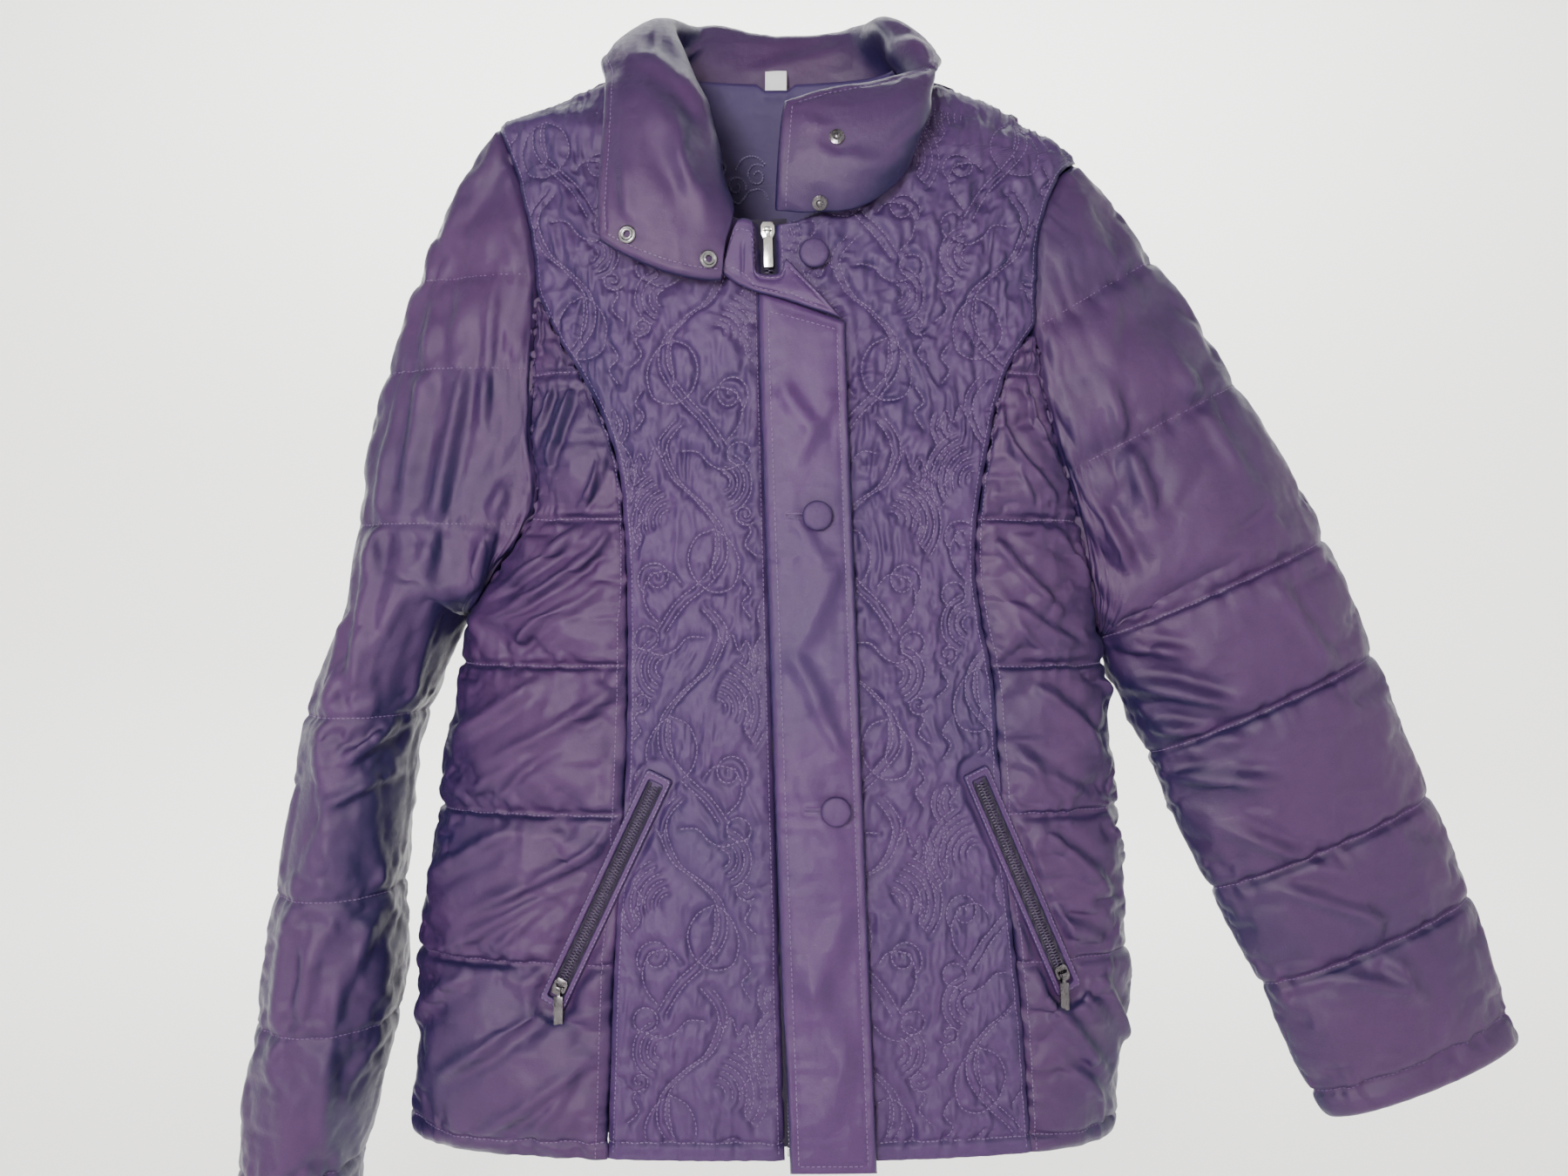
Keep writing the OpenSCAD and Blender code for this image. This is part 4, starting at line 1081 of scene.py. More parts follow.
SLEEVE_BODY = {R: ("torso", "right_sleeve", (-0.226, 0, -0.2), (-0.296, 0, -0.214)),
               L: ("torso", "left_sleeve", (0.228, 0, -0.2), (0.300, 0, -0.23))}
for side in (R, L):
    sleeve(side)


# ---------------------------------------------------------------- collar

COLLAR_T = 6.4
COLLAR = np.array([
    [[-34, -68, -152], [-60, -78, -158], [-92, -82, -148], [-122, -72, -127]],
    [[-33, -66, -128], [-55, -82, -130], [-92, -86, -120], [-123, -71, -100]],
    [[-33, -58, -106], [-40, -82, -98], [-88, -88, -88], [-122, -66, -72]],
    [[-60, -48, -84], [-24, -50, -52], [-78, -90, -46], [-121, -58, -42]],
    [[-90, -34, -50], [-36, -28, -8], [-80, -68, 0], [-122, -44, -12]],
    [[-113, -2, 8], [-50, 2, 50], [-96, -22, 54], [-126, -10, 15]],
    [[-92, 30, 16], [-50, 30, 62], [-72, 42, 78], [-92, 48, 36]],
    [[-50, 42, 18], [-44, 40, 58], [-48, 52, 82], [-56, 64, 52]],
    [[-8, 45, 18], [-8, 42, 52], [-6, 54, 74], [-6, 66, 48]],
    [[34, 43, 18], [34, 40, 52], [38, 54, 78], [44, 64, 50]],
    [[74, 29, 16], [46, 30, 56], [60, 36, 80], [78, 46, 38]],
    [[96, 0, 10], [48, 2, 48], [76, -4, 68], [106, -10, 14]],
    [[91, -27, -23], [80, -36, -2], [94, -44, 22], [107, -32, 4]],
    [[83, -44, -54], [90, -68, -44], [102, -70, -14], [98, -48, -4]],
    [[76, -54, -82], [84, -84, -68], [88, -82, -26], [80, -58, -13]],
    [[49, -60, -106], [58, -90, -92], [60, -86, -36], [56, -64, -21]],
    [[20, -62, -111], [24, -86, -98], [26, -86, -44], [26, -68, -27]],
    [[-6, -62, -109], [-6, -76, -98], [-3, -80, -50], [0, -68, -35]]], float)
# press studs: the profile they are on and their share of its length
SNAPS = ((0.5, 0.22), (0.5, 0.78), (15.95, 0.17), (15.7, 0.55))


def collar():
    per = 12
    control = refine_rows(COLLAR, per)
    # the neck seam: lower at the back, where it meets the facing
    place = np.arange(len(control)) / per
    start = 0.1 - 0.14 * np.clip((place - 3.5) / 1.5, 0, 1) * np.clip((13.5 - place) / 1.5, 0, 1)
    start = start - 0.045 * np.clip((place - 6.2) / 0.8, 0, 1) * np.clip((10.6 - place) / 0.8, 0, 1)
    t = (start[:, None] + (1 - start[:, None]) * np.linspace(0, 1, 76)[None, :])[..., None]
    p = [control[:, k][:, None] for k in range(4)]
    mid = (1 - t) ** 3 * p[0] + 3 * t * (1 - t) ** 2 * p[1] + 3 * t * t * (1 - t) * p[2] + t ** 3 * p[3]
    n = unit(np.cross(np.gradient(mid, axis=0), np.gradient(mid, axis=1)))
    along, up = arc_lengths(mid, 0), arc_lengths(mid, 1)
    free = np.minimum(np.minimum(up[:, -1:] - up, along), along[-1:] - along)
    near = 1 - np.clip(free / 4.5, 0, 1)
    thick = COLLAR_T / 2 * np.sqrt(np.maximum(0, 1 - near ** 2)) * 0.9 + 0.35
    stitched = np.abs(free - 8)
    body_of_it = np.clip((free - 8) / 14, 0, 1)
    i = np.arange(len(mid))[:, None] / per + 0 * up
    creases = 0
    for i0, v0, i1, v1, width, size in (
            (1.2, 10, 3.6, 70, 8, 2.6), (2.6, 4, 5.2, 60, 9, 3.0), (0.6, 60, 2.4, 84, 7, 1.8),
            (4.6, 20, 7.0, 50, 8, 2.2), (12.2, 8, 14.6, 50, 8, 2.6), (14.0, 10, 16.4, 46, 8, 2.4),
            (10.4, 12, 12.6, 60, 9, 2.4), (7.4, 16, 9.6, 44, 8, 1.8), (15.4, 44, 17.0, 66, 6, 1.6),
            (3.4, 8, 4.4, 84, 6, 2.2), (1.6, 30, 3.4, 50, 6, 1.8), (13.2, 20, 14.8, 30, 5, 1.6)):
        creases = creases + 1.3 * fold(i * 24, up, (i0 * 24, v0), (i1 * 24, v1), width * 0.85, size)
    # press studs pull the layers together
    flat = 1
    for row, share in SNAPS:
        c = COLLAR[int(row)] * (1 - row % 1) + COLLAR[int(row) + 1] * (row % 1)
        w = (1 - share) ** 3, 3 * share * (1 - share) ** 2, 3 * share ** 2 * (1 - share), share ** 3
        spot = sum(w[k] * c[k] for k in range(4))
        away = np.linalg.norm(mid - spot, axis=-1)
        flat = flat * np.clip((away - 6.5) / 7, 0, 1)
    relief = (0.9 * body_of_it - 0.8 * fade(stitched, 1.2) + creases * body_of_it
              + crumple(i * 24, up, 121, 0.9) * np.clip(free / 10, 0, 1))
    gather = gathers(along, stitched, 131, 0.5) * np.clip(free / 3, 0, 1)
    top = mid + n * (thick + (relief + gather) * flat - 0.5 * (1 - flat))[..., None]
    under = mid - n * (thick + (0.6 * relief - gather) * flat - 0.5 * (1 - flat))[..., None]
    obj = slab("stand_collar", top, under)
    finish_piece(obj, TAFFETA, "torso",
                 ("collar_shell", "collar_wadding", "collar_facing"))
    rows = mid.shape[0]
    v = np.array([np.interp(-8, -(up[r, -1] - up[r]), np.arange(76)) for r in range(rows)])
    r = np.arange(5, rows - 5.0)
    paths = []
    for skin, skin_n in ((top, normals(top, n)), (under, normals(under, -n))):
        paths.append(trace(skin, skin_n, r, v[r.astype(int)]))
        for row in (np.interp(8, along[:, 40], np.arange(rows)),
                    np.interp(along[-1, 40] - 8, along[:, 40], np.arange(rows))):
            paths.append(trace(skin, skin_n, row, np.arange(3, v[int(row)])))
    dashes("collar_stitches", paths, THREAD, "torso", 2.5, 0.9, 0.65, 0.15)


collar()


# ---------------------------------------------------------------- storm flap and its turned top

FLAP_GAP, FLAP_T, FLAP_W = 6.2, 4.0, 57.0
BUTTONS = [(22, -309), (34, -503)]
FREE_BUTTON = (20, -133)


def flap_left(z):
    return -16 + 20 * (-190 - z) / 550


def rounded(e, thick, reach=3.0):
    """Thickness near a rolled edge, at a distance e from it."""
    near = 1 - np.clip(e / reach, 0, 1)
    return thick * np.sqrt(np.maximum(0, 1 - near ** 2)) + 0.25


def storm_flap():
    z = upright(HEM - 5, -185, 1.6)[:, None]
    u = np.linspace(0, 1, 44)[None, :]
    x = flap_left(z) + u * FLAP_W
    slant = np.clip((z + 225) / 40, 0, 1) ** 2
    h = z + slant * (28 - 22 * u)
    # the edge rolls in, but the foot stands off where the slider ends its run
    roll = 3.4 * np.exp(-(u * FLAP_W / 2.4) ** 2) * np.clip((z + 680) / 50, 0, 1)
    foot = 3.2 * np.clip((-650 - z) / 50, 0, 1)
    y = surface_y(FRONT, x, np.maximum(z, HEM)) - FLAP_GAP + roll - foot
    inner = np.stack(np.broadcast_arrays(x, y, h), axis=-1)
    n = normals(inner, inner * [0, 1, 0])
    across, down = arc_lengths(inner, 1), arc_lengths(inner, 0)
    edge = np.minimum(np.minimum(across, across[:, -1:] - across), np.minimum(down, down[-1:] - down))
    side_edge = np.minimum(across, across[:, -1:] - across)
    rise = rounded(edge, FLAP_T) + 1.5 * np.clip((edge - 6) / 12, 0, 1)
    rise = rise - 0.9 * fade(edge - 6, 1.1) * (edge > 1)
    rise = rise + gathers(down, side_edge - 6, 141, 0.45) * np.clip(edge / 3, 0, 1)
    soft = np.clip((edge - 2) / 10, 0, 1)
    for p, q, w, s in (((-8, -215), (26, -262), 7, 3.2), ((36, -225), (4, -280), 7, 2.6),
                       ((2, -300), (30, -352), 7, 2.2), ((40, -330), (8, -404), 8, 2.8),
                       ((0, -392), (34, -446), 7, 3.4), ((12, -420), (44, -474), 6, 2.6),
                       ((6, -470), (40, -540), 9, 2.0), ((44, -560), (14, -640), 9, 2.4),
                       ((10, -596), (46, -688), 9, 2.6), ((50, -640), (22, -722), 8, 2.0)):
        rise = rise + fold(x, h, p, q, w, s) * soft
    rise = rise + crumple(x, h, 143, 0.9) * soft
    for bx, bz in BUTTONS:
        away = np.hypot(np.maximum(np.abs(x - (bx - 9)) - 10, 0), h - bz)
        rise = rise - 1.6 * np.exp(-(away / 1.3) ** 2) + 0.6 * np.exp(-((away - 2.6) / 1.2) ** 2)
    outer = inner + n * rise[..., None]
    obj = slab("storm_flap_padded", outer, inner - n * 0.3)
    finish_piece(obj, TRIM, "torso", ("storm_flap",))
    outer_n = normals(outer, n)
    m, k = outer.shape[:2]
    paths = [trace(outer, outer_n, np.arange(4, m - 4), np.interp(c, across[0], np.arange(k)))
             for c in (6, FLAP_W - 6)]
    paths += [trace(outer, outer_n, row, np.arange(5, k - 5)) for row in (4, m - 5)]
    dashes("storm_flap_stitches", paths, THREAD, "torso", 2.6, 0.9, 0.65, 0.15)
    bars = []
    for bx, bz in BUTTONS:
        for s in (R, L):
            for x0 in np.arange(bx - 20, bx + 3, 0.75):
                row = np.interp([bz + s * 0.5, bz + s * 2.4], h[:, 20], np.arange(m))
                bar = trace(outer, outer_n, row, (x0 - flap_left(bz)) / FLAP_W * (k - 1))
                # a quarter longer, so that a whole stitch fits on it
                bars.append([np.stack([p[0], p[0] + (p[1] - p[0]) * 1.25]) for p in bar])
    dashes("buttonhole_stitches", bars, THREAD, "torso", 1.2, 0.5, 0.62, 0.25)


def turned_top():
    upper = [(-42, -146), (-38, -133), (-33, -116), (-29, -111), (-22, -112), (-20.4, -116),
             (-20.2, -130), (-19.6, -143), (-16, -147.5), (-5, -148), (-1, -145), (1, -138),
             (5, -141), (16, -153), (28, -166), (38, -178)]
    lower = [(-42, -146), (-41, -148), (-38, -150), (-34, -153), (-30, -155.5), (-26, -157.5),
             (-22, -159.3), (-19, -160.5), (-14, -162), (-6, -164), (0, -165.5), (4, -166.8),
             (8, -168), (18, -171.5), (28, -174.6), (38, -178)]
    a, b = refine_rows(np.array(upper), 6), refine_rows(np.array(lower, float), 6)
    u = np.linspace(0, 1, 22)[None, :, None]
    flat = a[:, None] * (1 - u) + b[:, None] * u
    x, z = flat[..., 0], flat[..., 1]
    y = surface_y(FRONT, 0, -140) - 9.4 - 3.4 * np.clip((-148 - z) / 12, 0, 1)
    inner = np.stack([x, y, z], axis=-1)
    along, across = arc_lengths(inner, 0), arc_lengths(inner, 1)
    edge = np.minimum(across, across[:, -1:] - across)
    edge = np.minimum(edge, np.minimum(along, along[-1:] - along))
    rise = rounded(edge, 2.2, 2.2) + 0.5 * np.clip((edge - 4) / 6, 0, 1)
    rise = rise - 0.7 * fade(edge - 4.5, 0.9) * (edge > 1)
    rise = rise + crumple(x, z, 151, 0.6) * np.clip(edge / 5, 0, 1)
    slot = np.hypot(x + 27.5, np.maximum(np.abs(z + 138) - 9, 0))
    rise = rise - 1.3 * np.exp(-(slot / 1.0) ** 2)
    outer = inner + np.array([0, -1, 0]) * rise[..., None]
    obj = slab("flap_turned_corner", outer, inner)
    finish_piece(obj, TRIM, "torso", ("storm_flap_turned_top",))
    n = normals(outer, np.array([0.0, -1.0, 0.0]) + 0 * outer)
    m, k = outer.shape[:2]
    paths = [trace(outer, n, np.arange(10, m - 8), c) for c in (4, k - 5)]
    dashes("turned_corner_stitches", paths, THREAD, "torso", 2.6, 0.9, 0.65, 0.15)


storm_flap()
turned_top()


# ---------------------------------------------------------------- buttons

def turned(profile, at, segments=72, ripple=None):
    """A shape turned about the Y axis; the profile is (radius, distance towards the front)."""
    a = np.arange(segments) * 2 * math.pi / segments
    prof = np.array(profile, float)
    r, out = prof[:, :1], prof[:, 1:]
    if ripple is not None:
        out = out + ripple(r, a)
    points = np.stack([at[0] + r * np.cos(a), at[1] - out + 0 * a, at[2] + r * np.sin(a)], axis=-1)
    faces = quads(len(prof), segments, True).tolist()
    for row in (0, len(prof) - 1):
        ring = [row * segments + k for k in range(segments)]
        faces.append(ring if row else ring[::-1])
    return points.reshape(-1, 3), faces


def many(name, shapes):
    points, faces, count = [], [], 0
    for p, f in shapes:
        points.append(p)
        faces += [[v + count for v in face] for face in f]
        count += len(p)
    obj = add_mesh(name, np.concatenate(points), faces)
    edit = bmesh.new()
    edit.from_mesh(obj.data)
    bmesh.ops.recalc_face_normals(edit, faces=edit.faces)
    edit.to_mesh(obj.data)
    edit.free()
    obj.data.shade_smooth()
    return obj


def covered_buttons():
    def gather(r, a):
        rim = np.clip((r - 5) / 4.5, 0, 1)
        return 0.22 * rim * noise(a * 4.8, r / 9, 161) + 0.1 * noise(a * 2, r / 3, 162) * (r > 1)
    profile = [(0.2, 0.2), (7.0, 0.1), (8.2, 0.1), (8.7, 0.5), (9.3, 1.1), (9.8, 1.8), (10, 2.4), (9.9, 3.0),
               (9.5, 3.6), (9.0, 4.1), (8.3, 4.5), (7.4, 4.8), (6.3, 5.0), (5.0, 5.15), (3.4, 5.25),
               (1.8, 5.3), (0.2, 5.3)]
    shapes = []
    for (x, z), off in zip(BUTTONS + [FREE_BUTTON], (FLAP_GAP + FLAP_T + 2.8,) * 2 + (4.5,)):
        shapes.append(turned(profile, (x, float(surface_y(FRONT, x, z)) - off, z), ripple=gather))
    finish_piece(many("cloth_covered_buttons", shapes), BUTTON_CLOTH, "torso",
                 ("covered_buttons",))
    strands = []
    for (x, z), top in zip(BUTTONS + [FREE_BUTTON], (FLAP_GAP + FLAP_T + 3,) * 2 + (4.6,)):
        y0 = float(surface_y(FRONT, x, z))
        for k in range(5):
            a = k * 2 * math.pi / 5
            base = (x + 0.8 * math.cos(a), y0 + 1, z + 0.8 * math.sin(a))
            strand = [(0.1, 0), (0.5, 0.1), (0.42, top * 0.5), (0.5, top + 0.9), (0.1, top + 1)]
            strands.append(turned(strand, base, 10))
    finish_piece(many("button_shanks", strands), THREAD, "torso", ("button_threads",))


covered_buttons()


# ---------------------------------------------------------------- metal pieces

def softened(node, name, material, body, width=0.16):
    """A CAD piece with its sharp edges rounded over."""
    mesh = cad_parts[node].data.copy()
    edit = bmesh.new()
    edit.from_mesh(mesh)
    bmesh.ops.remove_doubles(edit, verts=edit.verts, dist=1e-6)
    bmesh.ops.dissolve_limit(edit, angle_limit=math.radians(1), verts=edit.verts, edges=edit.edges)
    sharp = [e for e in edit.edges if len(e.link_faces) == 2 and e.calc_face_angle(0) > math.radians(35)]
    bmesh.ops.bevel(edit, geom=sharp, offset=width * MM, segments=2, profile=0.5, affect="EDGES",
                    clamp_overlap=True)
    edit.to_mesh(mesh)
    edit.free()
    mesh.materials.clear()
    mesh.shade_smooth()
    mesh.set_sharp_from_angle(angle=math.radians(40))
    obj = bpy.data.objects.new(name, mesh)
    bpy.context.scene.collection.objects.link(obj)
    return finish_piece(obj, material, body, (node,))


softened("front_zip_slider", "front_slider_cast", BRIGHT_METAL, "front_slider")
softened("front_zip_pull", "front_pull_tab", BRIGHT_METAL, "front_pull", 0.3)
softened("front_zip_bottom_box", "front_zip_box", BRIGHT_METAL, "torso", 0.3)
softened("collar_snap_sockets", "snap_sockets_pressed", SNAP_METAL, "torso", 0.1)
softened("collar_snap_studs", "snap_studs_pressed", DARK_METAL, "torso", 0.1)
for word in ("right", "left"):
    softened(f"{word}_pocket_zip_slider", f"{word}_pocket_slider_cast", DARK_METAL,
             f"{word}_pocket_slider")
    softened(f"{word}_pocket_zip_pull", f"{word}_pocket_pull_tab", DARK_METAL,
             f"{word}_pocket_pull", 0.3)


# ---------------------------------------------------------------- zips and pocket welts

def inward(x, z):
    d = 4
    return unit(np.array([-(surface_y(FRONT, x + d, z) - surface_y(FRONT, x - d, z)) / (2 * d), 1,
                          -(surface_y(FRONT, x, z + d) - surface_y(FRONT, x, z - d)) / (2 * d)]))


class Track:
    """A zip's frame: x across it, y into the jacket, z up along it."""

    def __init__(self, low, high, inner):
        self.low = np.array(low, float)
        self.length = float(np.linalg.norm(high - self.low))
        self.z = unit(high - self.low)
        self.x = unit(np.cross(inner, self.z))
        self.y = np.cross(self.z, self.x)

    def at(self, p):
        p = np.asarray(p, float)
        return self.low + p[..., :1] * self.x + p[..., 1:2] * self.y + p[..., 2:] * self.z


TAPE_DEPTH = 2.0


def front_track():
    ends = [np.array([zip_x(z), surface_y(FRONT, zip_x(k), z) + TAPE_DEPTH, z])
            for z, k in ((HEM + 8, HEM), (-108, -108))]
    return Track(ends[0], ends[1], np.array([0, 1, 0]))


def pocket_track(side):
    n = unit((inward(*POCKETS[side][0]) + inward(*POCKETS[side][1])) / 2)
    ends = [np.array([x, surface_y(FRONT, x, z), z]) - n * (1.2 - TAPE_DEPTH) for x, z in POCKETS[side]]
    return Track(ends[0], ends[1], n)


def zip_teeth(name, track, length, pitch, nodes):
    """Moulded teeth: a neck on the tape's edge and a wider head that locks with the other side."""
    plan = [(2.9, -0.32), (0.9, -0.30), (0.5, -0.42), (-0.35, -0.34), (-0.55, 0), (-0.35, 0.34),
            (0.5, 0.42), (0.9, 0.30), (2.9, 0.32)]
    shapes = []
    for side in (R, L):
        for k in range(int(length / pitch)):
            z = (k + (0.5 if side == L else 0)) * pitch + 0.6
            rings = []
            for y, shrink in ((-1.15, 0.82), (-0.8, 1), (0.8, 1), (1.15, 0.82)):
                rings.append([(side * (1.2 + (px - 1.2) * shrink), y, z + pz * pitch * shrink * 0.9)
                              for px, pz in plan])
            n = len(plan)
            faces = quads(4, n, True).tolist() + [list(range(n)), list(range(4 * n - 1, 3 * n - 1, -1))]
            shapes.append((track.at(np.array(rings).reshape(-1, 3)), faces))
    finish_piece(many(name, shapes), TEETH, "torso", nodes)


def rounded_loop(w, z0, z1, r):
    """The edges of a loop with round corners, each with the number of parts it is cut into."""
    points = []
    for cx, cz, a0 in ((w - r, z0 + r, -90), (w - r, z1 - r, 0), (-w + r, z1 - r, 90), (-w + r, z0 + r, 180)):
        for a in np.radians(np.linspace(a0, a0 + 90, 10)):
            points.append((cx + r * math.cos(a), cz + r * math.sin(a)))
    out = []
    for k, p in enumerate(points):
        q = points[(k + 1) % len(points)]
        steps = max(1, int(math.hypot(q[0] - p[0], q[1] - p[1]) / 1.6))
        out.append((p, q, steps))
    return out


def pocket_welt(side):
    word = "right" if side == R else "left"
    track = pocket_track(side)
    outer_loop = rounded_loop(9.5, -8, track.length + 8, 2.6)
    inner_loop = rounded_loop(5.0, -3.0, track.length + 1.5, 1.6)

    def spread(loop):
        pts = []
        for (p, q, _), (_, _, steps) in zip(loop, outer_loop):
            for t in np.arange(steps) / steps:
                pts.append((p[0] + (q[0] - p[0]) * t, p[1] + (q[1] - p[1]) * t))
        return np.array(pts)

    a, b = spread(inner_loop), spread(outer_loop)
    u = np.linspace(0, 1, 13)[:, None, None]
    flat = a[None] * (1 - u) + b[None] * u
    across = np.linalg.norm(b - a, axis=-1)[None] * u[..., 0]
    edge = np.minimum(across, np.linalg.norm(b - a, axis=-1)[None] - across)
    rise = rounded(edge, 1.7, 1.8) + 0.22 * noise(flat[..., 1] / 5, flat[..., 0] / 9, 171)
    rise = rise - 0.35 * fade(across - 2.9, 0.5)
    local = np.stack([flat[..., 0], -0.7 - rise, flat[..., 1]], axis=-1)
    under = np.stack([flat[..., 0], -0.6 + 0 * rise, flat[..., 1]], axis=-1)
    outer = track.at(local)
    obj = slab(f"{word}_pocket_lips", outer, track.at(under), wrap=True)
    finish_piece(obj, TRIM, "torso", (f"{word}_pocket_welt",))
    ring = np.concatenate([outer[9], outer[9][:1]])
    n = np.broadcast_to(-track.y, ring.shape)
    dashes(f"{word}_pocket_stitches", [(ring, n)], THREAD, "torso", 2.3, 0.8, 0.6, 0.12)
    zip_teeth(f"{word}_pocket_teeth", track, track.length - 1, 2.1, (f"{word}_pocket_zip_teeth",))


zip_teeth("front_teeth", front_track(), front_track().length - 8, 2.6, ("front_zip_teeth",))
for side in (R, L):
    pocket_welt(side)
for node in ("front_zip_tapes", "right_pocket_zip_tapes", "left_pocket_zip_tapes"):
    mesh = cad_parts[node].data
    mesh.materials.clear()
    mesh.materials.append(TAPE)


# ---------------------------------------------------------------- linings, pocket bags and labels

def hung_cloth(name, face, z0, z1, edge_a, edge_b, inset, thick, material, node, seed, step=5.0,
               notch=0.0):
    z = upright(z0, z1, step)
    a, b = angle_at(edge_a(z), z), angle_at(edge_b(z), z)
    low, high = np.minimum(a, b), np.maximum(a, b)
    widest = float(np.max(np.abs(edge_b(z) - edge_a(z))))
    u = np.linspace(0, 1, int(widest * 1.1 / step) + 2)
    angles = low[:, None] + (high - low)[:, None] * u
    grid = body_point(face, angles, z[:, None], -inset)
    # the top edge dips under the care label's root
    at_label = np.clip((14 - np.abs(grid[..., 0] + 6)) / 5, 0, 1)
    grid[..., 2] -= notch * at_label * np.clip((grid[..., 2] - 4) / 10, 0, 1)
    n = normals(grid, grid * [0.15, 1, 0])
    away = np.clip(np.minimum(u, 1 - u) * 12, 0, 1)[None, :]
    ripple = away * (0.5 * noise(grid[..., 0] / 19, grid[..., 2] / 70, seed)
                     + 0.35 * crease(grid[..., 0] / 27, grid[..., 2] / 33, seed + 1))
    outer = grid - n * (np.abs(ripple) + 0.05)[..., None]
    obj = slab(name, outer, outer - n * thick)
    finish_piece(obj, material, "torso", (node,))


for side in (R, L):
    word = "right" if side == R else "left"
    hung_cloth(f"{word}_front_lining_cloth", FRONT, -723, -15, lambda z: front_edge(side, z, 16),
               lambda z: outer_edge(side, z), LINING_IN, LINING_T, LINING,
               f"{word}_front_lining", 181 + side)
    bag_x = (-212, -88) if side == R else (120, 212)
    hung_cloth(f"{word}_pocket_bag_cloth", FRONT, -700, -475, lambda z: bag_x[0] + 0 * z,
               lambda z: bag_x[1] + 0 * z, 7.7, 1.6, LINING, f"{word}_pocket_bag",
               185 + side)
hung_cloth("back_lining_cloth", BACK, -723, -91, lambda z: outer_edge(R, z), lambda z: outer_edge(L, z),
           LINING_IN, LINING_T, LINING, "back_lining", 191)
hung_cloth("neck_facing_cloth", BACK, -89, 16, lambda z: outer_edge(R, z), lambda z: outer_edge(L, z),
           LINING_IN, LINING_T, FACING_CLOTH, "back_neck_facing", 195, 2.5,
           4.6)


def neck_embroidery():
    """A mirrored scroll worked in thread on the inside of the neck facing."""
    half_paths = [arc(13, -58, 2, 9, 0, 500, 60), arc(30, -66, 8, 2, 200, -260, 50),
                  smooth_path([(4, -76), (10, -68), (20, -70), (28, -78), (38, -72), (46, -60)]),
                  smooth_path([(46, -60), (50, -52), (44, -46), (38, -52), (42, -60)]),
                  smooth_path([(6, -50), (14, -44), (24, -46), (30, -54)]), arc(40, -79, 4, 1, 90, 450, 30)]
    paths = []
    for sign in (-1, 1):
        for q in half_paths:
            x = -8 + sign * q[:, 0]
            z = q[:, 1] + 9
            p = body_point(BACK, angle_at(x, z), z, -LINING_IN - LINING_T - 1.15)
            paths.append((p, np.stack([0 * x, 0 * x - 1, 0 * x], axis=-1)))
    dashes("neck_embroidery", paths, EMBROIDERY, "torso", 2.0, 0.05, 1.5, 0.1)


def care_label():
    root, lean = np.array([-6, 30.4, 12.6]), math.radians(25)
    u = np.linspace(-8, 8, 25)[None, :]
    t = np.linspace(0, 1, 30)[:, None]
    up = np.array([0, math.sin(lean), math.cos(lean)])
    out = np.array([0, -math.cos(lean), math.sin(lean)])
    curl = 1.3 * np.sin(t * 2.4) * t + 0.5 * np.sin(u / 5 + 1) * t
    grid = root + u[..., None] * np.array([1, 0, 0]) + (18 * t + 0 * u)[..., None] * up
    grid = grid + curl[..., None] * out
    rise = 0.26 + 0.12 * np.exp(-((np.abs(u) - 7.2) / 0.5) ** 2) + 0.1 * (t > 0.93)
    obj = slab("care_label_satin", grid + rise[..., None] * out, grid - 0.25 * out)
    finish_piece(obj, LABEL, "care_label", ("care_label",))


neck_embroidery()
care_label()


# ---------------------------------------------------------------- studio, lights and camera

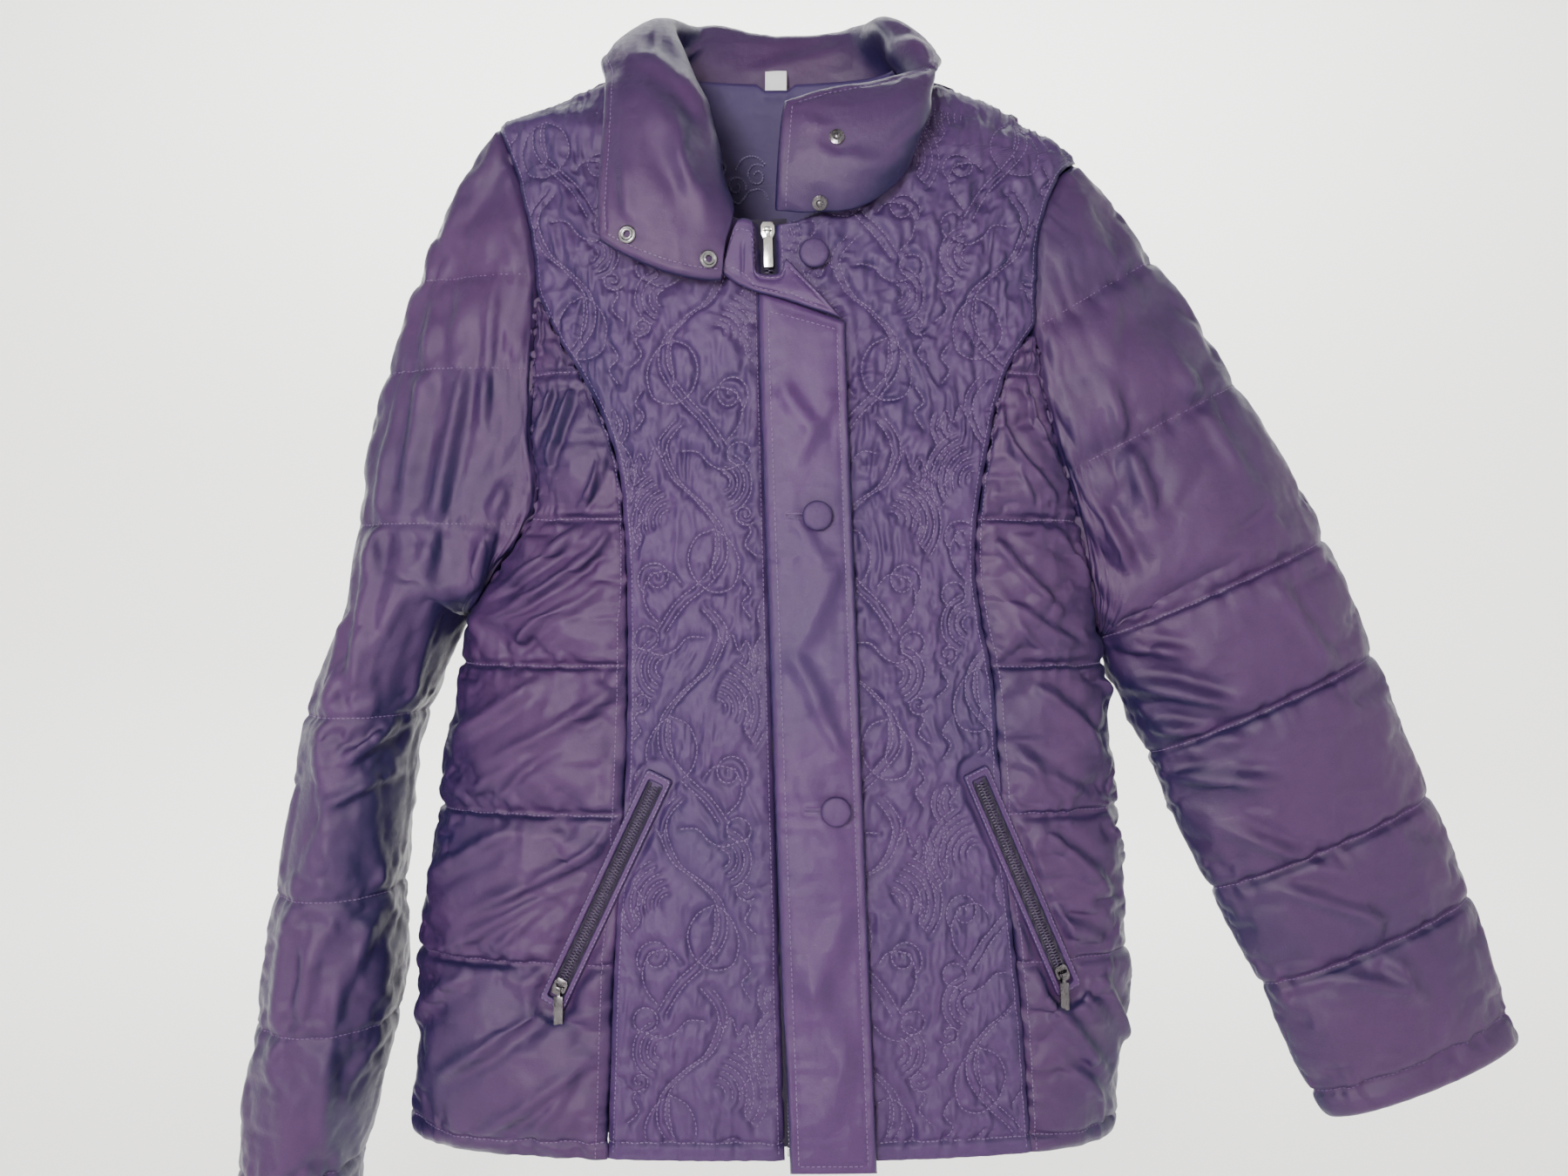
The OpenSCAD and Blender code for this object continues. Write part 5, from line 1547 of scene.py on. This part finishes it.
def studio_bowl():
    """A pale floor that curves up into a wall all round."""
    flat_r, turn_r, top, floor_z = 1.9, 1.0, 3.5, -0.95
    profile = [(0.0005, floor_z), (0.7, floor_z), (1.3, floor_z), (flat_r, floor_z)]
    profile += [(flat_r + turn_r * math.sin(a), floor_z + turn_r * (1 - math.cos(a)))
                for a in np.linspace(0.1, math.pi / 2, 12)]
    profile.append((flat_r + turn_r, top))
    turns = 72
    points = [(r * math.cos(2 * math.pi * k / turns), r * math.sin(2 * math.pi * k / turns), z)
              for r, z in profile for k in range(turns)]
    bowl = add_mesh("studio_bowl", np.array(points) / MM, quads(len(profile), turns, True).tolist())
    bowl.data.materials.append(STUDIO)


def lamp(name, place, target, size, power, colour=(1, 1, 1)):
    data = bpy.data.lights.new(name, "AREA")
    data.shape = "RECTANGLE"
    data.size, data.size_y = size
    data.energy = power
    data.color = colour
    obj = bpy.data.objects.new(name, data)
    obj.location = place
    obj.rotation_euler = (Vector(target) - Vector(place)).to_track_quat("-Z", "Y").to_euler()
    bpy.context.scene.collection.objects.link(obj)


studio_bowl()
centre = (0, 0, -0.36)
lamp("key", (-0.4, -1.55, -0.12), (0.06, 0, -0.5), (0.42, 0.42), 36, (1.0, 0.97, 0.96))
lamp("fill", (1.5, -1.3, 0.1), centre, (1.2, 1.6), 5, (0.94, 0.97, 1.0))
lamp("top", (0.2, 0.5, 1.9), centre, (1.8, 1.4), 6)
lamp("back", (-0.9, 2.0, 0.6), centre, (1.2, 1.4), 24, (0.97, 0.98, 1.0))
lamp("backdrop", (0, 1.3, 1.6), (0, 2.9, -0.2), (2.0, 0.8), 145)
lamp("back_fill", (1.4, 1.6, 0.3), centre, (1.2, 1.4), 8, (0.97, 0.98, 1.0))

world = bpy.data.worlds.new("studio_world")
world.use_nodes = True
world.node_tree.nodes["Background"].inputs["Color"].default_value = (0.86, 0.88, 0.92, 1)
world.node_tree.nodes["Background"].inputs["Strength"].default_value = 0.17
bpy.context.scene.world = world

camera_data = bpy.data.cameras.new("camera")
camera_data.lens = 28.94
camera_data.sensor_width = 36
camera = bpy.data.objects.new("camera", camera_data)
camera.location = (0, -0.905, -0.3566)
camera.rotation_euler = (math.pi / 2, 0, 0)
bpy.context.scene.collection.objects.link(camera)
bpy.context.scene.camera = camera
